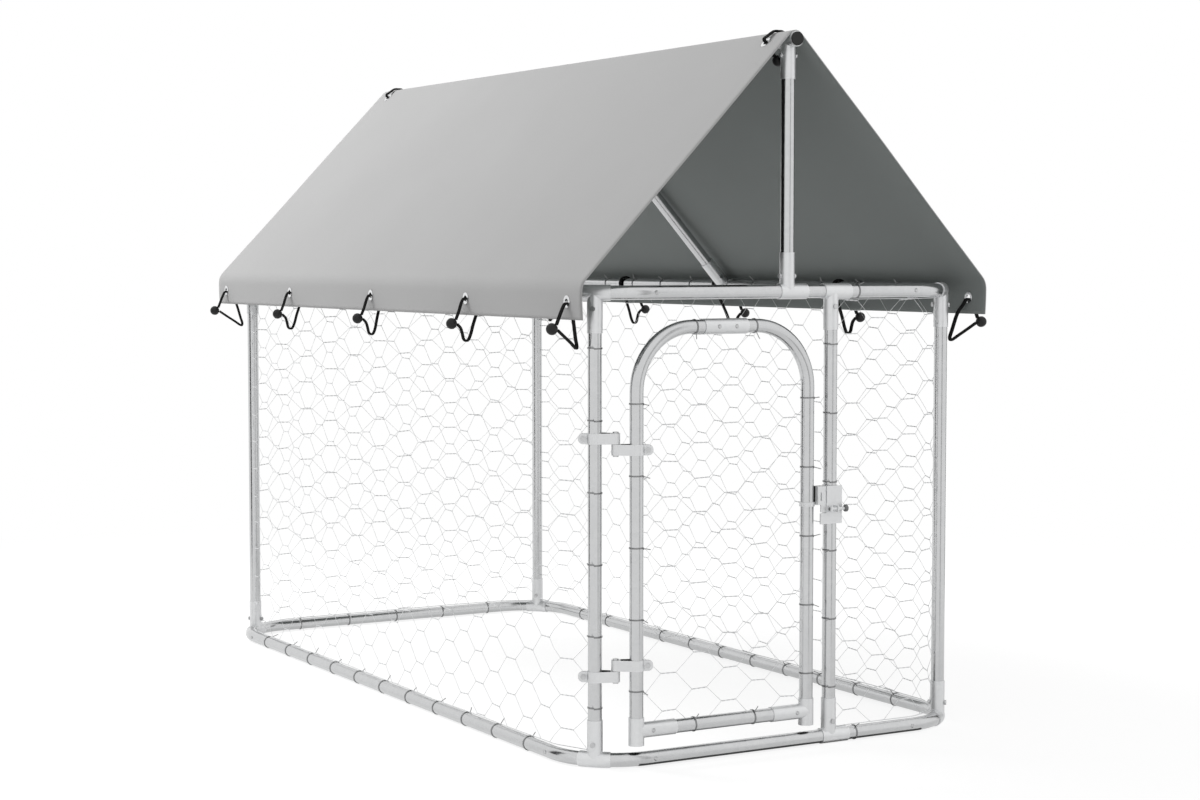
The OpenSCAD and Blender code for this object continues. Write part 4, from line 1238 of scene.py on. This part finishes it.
@dataclass
class WireTies:
    """Wire ties that lash the netting to the tubes: two turns about the tube and twisted ends."""

    step: float = 0.1454
    wire_r: float = 0.0008
    wrap_turns: float = 2.0
    wrap_pitch: float = 0.0018
    wrap_rings: int = 37
    tail_r: float = 0.0006
    twist_r: float = 0.0007
    twist_turns: float = 3.0
    length: float = 0.015
    spread: float = 0.5
    rings: int = 12
    sides: int = 5
    seed: int = 7
    lean: float = 0.5
    tilt: Point = (0.01, 0.02, 0.03)
    level: Point = (0.31, 0.47, 0.83)
    shorter: float = 0.7
    longer: float = 1.2
    screw_clear: float = 0.0208
    loop_blocks: Blocks = ((-0.495, 0.037), (0.0, 0.037), (0.495, 0.037))
    king_blocks: Blocks = ((0.0, 0.051),)
    hinge_blocks: Blocks = ((0.1857, 0.022), (0.6676, 0.022))
    bracket_blocks: Blocks = ((0.511, 0.045),)
    strap_blocks: Blocks = ((0.2083, 0.022), (0.645, 0.022))
    catch_blocks: Blocks = ((0.530, 0.026),)
    bay_in: float = 0.066
    post_clear: float = 0.086
    post_drop: float = 0.111
    stile_low: float = 0.107
    stile_clear: float = 0.200
    stile_drop: float = 0.223

    def rows(self, low: float, high: float, start: float, blocked: Blocks) -> Array:
        """Places of ties along a tube, without those that meet a fitting.

        Args:
            low: Lower limit.
            high: Upper limit.
            start: Place of one tie.
            blocked: Middles and half lengths of the fittings.

        Returns:
            The places.
        """
        below, above = (math.ceil(part / self.step) for part in (start - low, high - start))
        spot = start + np.arange(-below, above + 1) * self.step
        free = (spot > low) & (spot < high)
        for middle, half in blocked:
            free &= np.abs(spot - middle) >= half
        return spot[free]

    def wires(self, ties: Tie, rng: np.random.Generator) -> Shape:
        """Solid wires of a set of ties.

        The wrap's point is spot + radius (cos a * out + sin a * side) + pitch * a * axis.
        Two short wires are twisted about a line that leaves the tube.

        Args:
            ties: The ties.
            rng: Source of the small differences between the tails.

        Returns:
            The wraps and the tails.
        """
        axis, out = np.array(ties.axis, float), unit(np.array(ties.out, float))
        count = len(ties.spots)
        turn = np.linspace(0, 2 * math.pi * self.wrap_turns, self.wrap_rings)[:, None]
        ring = np.cos(turn) * out + np.sin(turn) * np.cross(axis, out)
        ring = (ties.tube_r + self.wire_r) * ring
        ring = ring + axis * self.wrap_pitch * (turn / (2 * math.pi) - self.wrap_turns / 2)
        wraps = swept(ties.spots[:, None] + ring[None], self.wire_r, self.sides, axis)
        start = ties.spots + (ties.tube_r + self.wire_r) * out
        stray = rng.uniform(-self.spread, self.spread, (count, 3))
        way = unit(ties.around + stray + self.lean * out)
        end = start + way * self.length * rng.uniform(self.shorter, self.longer, (count, 1))
        normal = unit(np.cross(way, unit(out + self.tilt)))
        pairs = twisted(start, end, normal, self.twist_r, self.twist_turns, self.rings)
        return joined([wraps, swept(pairs, self.tail_r, self.sides, self.level)])

    def frame_ties(self) -> list[Tie]:
        """Ties on the rails, the hinge post and the latch post."""
        side_reach, end_reach = (
            half - RUN.bend_r - self.screw_clear for half in (RUN.half_l, RUN.half_w)
        )
        ties = []
        for s in (-1, 1):
            for z, blocked in ((RUN.base_z, ()), (RUN.top_z, self.loop_blocks)):
                y = self.rows(-side_reach, side_reach, 0.0, blocked)
                place = spots(s * RUN.half_w, y, z)
                out, around = (-0.5 * s, 0, 0.866), (-0.866 * s, 0, 0.5)
                ties.append(Tie(place, ALONG_RUN, out, around, RUN.rail_r))
        for z, blocked in ((RUN.base_z, ()), (RUN.top_z, self.king_blocks)):
            x = self.rows(-end_reach, end_reach, 0.0, blocked)
            place = spots(x, RUN.half_l, z)
            ties.append(Tie(place, (1, 0, 0), (0, -0.5, 0.866), (0, -0.866, -0.5), RUN.rail_r))
        bay = spots(RUN.latch_post_x + self.bay_in, -RUN.half_l, np.array([RUN.base_z, RUN.top_z]))
        ties.append(Tie(bay, (1, 0, 0), (0, -0.5, 0.866), (0.3, -0.866, 0.5), RUN.rail_r))
        low, high = RUN.base_z + self.post_clear, RUN.top_z - self.post_clear
        for x, y, blocked in (
            (-RUN.post_x, -RUN.post_y, self.hinge_blocks),
            (RUN.latch_post_x, -RUN.half_l, self.bracket_blocks),
        ):
            place = spots(x, y, self.rows(low, high, RUN.top_z - self.post_drop, blocked))
            ties.append(Tie(place, UP, (-0.6, -0.8, 0), (-0.8, 0.2, 0.1), RUN.post_r))
        return ties

    def door_ties(self) -> list[Tie]:
        """Ties on the door's stiles and on its top and bottom."""
        high, start = RUN.top_z - self.stile_clear, RUN.top_z - self.stile_drop
        ties = []
        for x, blocked in ((RUN.door_left, self.strap_blocks), (RUN.door_right, self.catch_blocks)):
            place = spots(x, -RUN.half_l, self.rows(self.stile_low, high, start, blocked))
            ties.append(Tie(place, UP, (0.6, -0.8, 0), (0.8, 0.3, -0.1), RUN.post_r))
        pair = RUN.door_middle + self.step / 2 * np.array([-1, 1])
        for z, rise in ((RUN.door_rail_z, 0.8), (RUN.top_z - RUN.door_drop, -0.8)):
            place = spots(pair, -RUN.half_l, z)
            ties.append(Tie(place, (1, 0, 0), (0, -0.6, rise), (0.4, -0.2, rise), RUN.post_r))
        return ties

    def build(self, finish: bpy.types.Material) -> None:
        """Makes the ties on the frame and on the door."""
        rng = np.random.default_rng(self.seed)
        for name, body, ties, node in (
            ("lashing_ties", Body.FRAME, self.frame_ties(), "frame_ties"),
            ("door_lashing_ties", Body.DOOR, self.door_ties(), "door_ties"),
        ):
            shape = joined([self.wires(group, rng) for group in ties])
            ride_as(shape.object(name, [finish]), body, [node])


# Studio


@dataclass(frozen=True)
class Lamp:
    """A soft square lamp: its place, its side, its power and whether metal mirrors it."""

    name: str
    spot: Point
    size: float
    power: float
    mirrored: bool


@dataclass(frozen=True)
class Flag:
    """A dark card that only metal mirrors: two corners, the way to the others and its grey."""

    name: str
    first: Point
    second: Point
    way: Point
    grey: float


@dataclass
class Studio:
    """White floor and surroundings, soft lamps, dark cards for metal to mirror, and the camera."""

    eye: Point = (-2.7065, -4.8903, 1.0276)
    yaw: float = 29.952
    pitch: float = 3.539
    lens: float = 68.42
    sensor: float = 36.0
    target: Point = (0.0, 0.0, 0.8)
    floor_half: float = 40.0
    floor_grey: float = 0.80
    fade_from: float = 1.6
    fade_to: float = 3.4
    glow: float = 0.80
    shadow_light: float = 0.12
    world_light: float = 0.52
    near_mirror: float = 0.70
    lamps: tuple[Lamp, ...] = (
        Lamp("key_lamp", (-2.6, 2.8, 4.3), 2.2, 150.0, False),
        Lamp("fill_lamp", (1.5, -4.6, 3.4), 3.0, 12.0, False),
        Lamp("shine_lamp", (1.5, -4.6, 3.4), 3.0, 25.0, True),
    )
    flags: tuple[Flag, ...] = (
        Flag("flag_left", (-2.42627, 0.351, 0), (-2.08425, 1.29069, 0), (0, 0, 2), 0.05),
        Flag("flag_front", (0.47464, -2.36333, 0), (0.0271, -2.41037, 0), (0, 0, 2), 0.55),
        Flag("flag_right", (2.40129, -0.28952, 0), (2.25613, -0.8717, 0), (0, 0, 2), 0.12),
        # Painted dark reflection: a card beside the king post, seen only in the metal
        Flag("flag_painted_king_post_reflection", (-0.08, -0.976, 1.01), (-0.03, -0.8, 1.01), (0, 0, 0.42), 0.01),
        # Painted shadow: a dark strip under the front rail, seen only in reflections
        Flag("flag_painted_rail_shadow", (-0.36, -0.986, 0.0005), (0.36, -0.986, 0.0005), (0, 0.286, 0), 0.08),
    )

    @staticmethod
    def seen(shader: Shader, mirrored: object) -> Value:
        """How far a ray shows the white surroundings.

        Args:
            shader: The shader that asks.
            mirrored: Share for mirrored rays, as a number or value. Rays from the camera have one.

        Returns:
            The share.
        """
        path = shader.node("ShaderNodeLightPath", {}, {})
        rays = ("Is Camera Ray", "Is Glossy Ray", "Is Transmission Ray")
        camera, glossy, through = (Value(shader, path.outputs[name]) for name in rays)
        return camera.largest(glossy * mirrored).largest(through)

    def world(self) -> None:
        """Surroundings that look white and light the object softly."""
        world = bpy.data.worlds.new("studio")
        bpy.context.scene.world = world
        shader = new_shader(world)
        strength = self.world_light + (1 - self.world_light) * self.seen(shader, 1.0)
        sky = shader.node("ShaderNodeBackground", {}, {"Color": tint(1.0), "Strength": strength})
        shader.node("ShaderNodeOutputWorld", {}, {"Surface": sky.outputs[0]})

    def floor(self) -> None:
        """White floor that keeps the object's shadow and fades into the surroundings."""
        material = bpy.data.materials.new("studio_floor")
        shader = new_shader(material)
        vector = {"operation": "LENGTH"}
        away = shader.value("ShaderNodeVectorMath", vector, {0: shader.place()}, "Value")
        limits = {"Value": away, "From Min": self.fade_from, "From Max": self.fade_to}
        fade = shader.value("ShaderNodeMapRange", {"interpolation_type": "SMOOTHSTEP"}, limits)
        seen = self.seen(shader, self.near_mirror + (1 - self.near_mirror) * fade)
        near = tint(1 - self.glow + self.shadow_light)
        albedo = shader.blend(seen, tint(self.floor_grey), shader.blend(fade, near, tint(0.0)))
        diffuse = shader.node("ShaderNodeBsdfDiffuse", {}, {"Color": albedo})
        shine = seen * (self.glow + (1 - self.glow) * fade)
        emission = shader.node("ShaderNodeEmission", {}, {"Color": tint(1.0), "Strength": shine})
        both = {0: diffuse.outputs[0], 1: emission.outputs[0]}
        shader.show(shader.node("ShaderNodeAddShader", {}, both))
        h = self.floor_half
        floor = quad((-h, -h, 0), (h, -h, 0), (0, 2 * h, 0))
        floor.object("studio_floor", [material])

    def lamp(self, given: Lamp) -> None:
        """Adds a lamp that points at the middle of the run.

        Args:
            given: The lamp.
        """
        data = bpy.data.lights.new(given.name, "AREA")
        data.size, data.energy = given.size, given.power
        lamp = linked(given.name, data)
        lamp.location = given.spot
        lamp.visible_glossy = given.mirrored
        way = np.array(self.target) - np.array(given.spot)
        lamp.rotation_euler = (
            math.acos(-way[2] / np.linalg.norm(way)), 0, math.atan2(-way[0], way[1])
        )

    @staticmethod
    def flag(given: Flag) -> None:
        """Adds a dark card.

        Args:
            given: The card.
        """
        material = bpy.data.materials.new(given.name)
        shader = new_shader(material)
        glow = {"Color": tint(given.grey), "Strength": 1.0}
        shader.show(shader.node("ShaderNodeEmission", {}, glow))
        card = quad(given.first, given.second, given.way).object(given.name, [material])
        card.visible_camera = card.visible_diffuse = False
        card.visible_shadow = card.visible_transmission = False

    def camera(self) -> None:
        """Camera of the photograph's view."""
        data = bpy.data.cameras.new("photo_view")
        data.lens, data.sensor_width = self.lens, self.sensor
        camera = linked("photo_view", data)
        camera.location = self.eye
        camera.rotation_euler = (math.radians(90 - self.pitch), 0, math.radians(-self.yaw))
        bpy.context.scene.camera = camera

    def build(self) -> None:
        """Sets up the studio."""
        self.world()
        self.floor()
        for lamp in self.lamps:
            self.lamp(lamp)
        for flag in self.flags:
            self.flag(flag)
        self.camera()
        bpy.context.scene.view_settings.view_transform = "Standard"


def dress_nodes(finishes: dict[str, bpy.types.Material]) -> None:
    """Gives every node the finish of its slot, and the latch and hinge plates their own.

    Args:
        finishes: Materials by the record's slot names.
    """
    plate = PLATE.material()
    for row in frame["record"]["subparts"]:
        material = plate if row["node"] in PLATE_NODES else finishes.get(row["material_slot"])
        if material is None:
            continue
        mesh = frame["nodes"][row["node"]].data
        mesh.materials.clear()
        mesh.materials.append(material)


def paint_shade_in_hinges(dark: bpy.types.Material) -> None:
    """Paints shade on the hinge straps' insides: the faces that look at the line from post to stile
    get a near-black finish.

    Args:
        dark: The near-black finish that stands in for the shade.
    """
    line = unit(np.array([RUN.door_left + RUN.post_x, RUN.post_y - RUN.half_l]))
    pin = np.array([RUN.door_left - RUN.post_x, -RUN.half_l - RUN.post_y]) / 2
    aside = np.array([-line[1], line[0]])
    for name in HINGE_NODES:
        mesh = frame["nodes"][name].data
        mesh.materials.append(dark)
        for face in mesh.polygons:
            off = aside @ (np.array(face.center[:2]) - pin)
            # Inner faces get the painted shade
            face.material_index = int(off * (aside @ np.array(face.normal[:2])) < INWARD)


def paint_shade_on_latch(fold: bpy.types.Material, dark: bpy.types.Material) -> None:
    """Paints shade on the rear of the folded side and top of the door's catch and on the slide
    bolt's tip, and darkens the bolt's knob.

    Args:
        fold: The finish of the folded faces, with painted shade behind a plane across the run.
        dark: The dark finish of the bolt's knob, and the painted shade on its tip.
    """
    catch, bolt = (frame["nodes"][name].data for name in ("latch_keeper", "latch_bolt"))
    for mesh, finish in ((catch, fold), (bolt, dark)):
        mesh.materials.append(finish)
    for face in catch.polygons:
        # Painted shade on the rear of the folded side and top faces
        folded = face.normal.x < -FACING or face.normal.z > FACING
        face.material_index = int(folded and face.center.x > RUN.door_right + RUN.post_r)
    for face in bolt.polygons:
        # Dark knob, and painted shade on the tip's faces that face the stile
        face.material_index = int(face.center.x > RUN.knob_x or face.normal.x < -FACING)


def main() -> None:
    """Builds the looks in order."""
    logging.basicConfig(level=logging.INFO, format="%(message)s")
    finishes = {slot.value: finish.material() for slot, finish in FINISHES.items()}
    Studio().build()
    dress_nodes(finishes)
    # Painted shade: the hinge straps' insides, the catch's fold and the slide bolt's tip
    paint_shade_in_hinges(PAINTED_HINGE_SHADE.material())
    paint_shade_on_latch(PAINTED_FOLD_SHADE.material(), KNOB_AND_PAINTED_TIP_SHADE.material())
    Bungees().build(finishes[Slot.ELASTIC.value], finishes[Slot.PLASTIC.value])
    Netting().build(finishes[Slot.WIRE.value])
    WireTies().build(TIE_WIRE.material())
    Tarpaulin().build(TARP_OUTSIDE.material(), TARP_INSIDE.material())


if __name__ == "__main__":
    main()
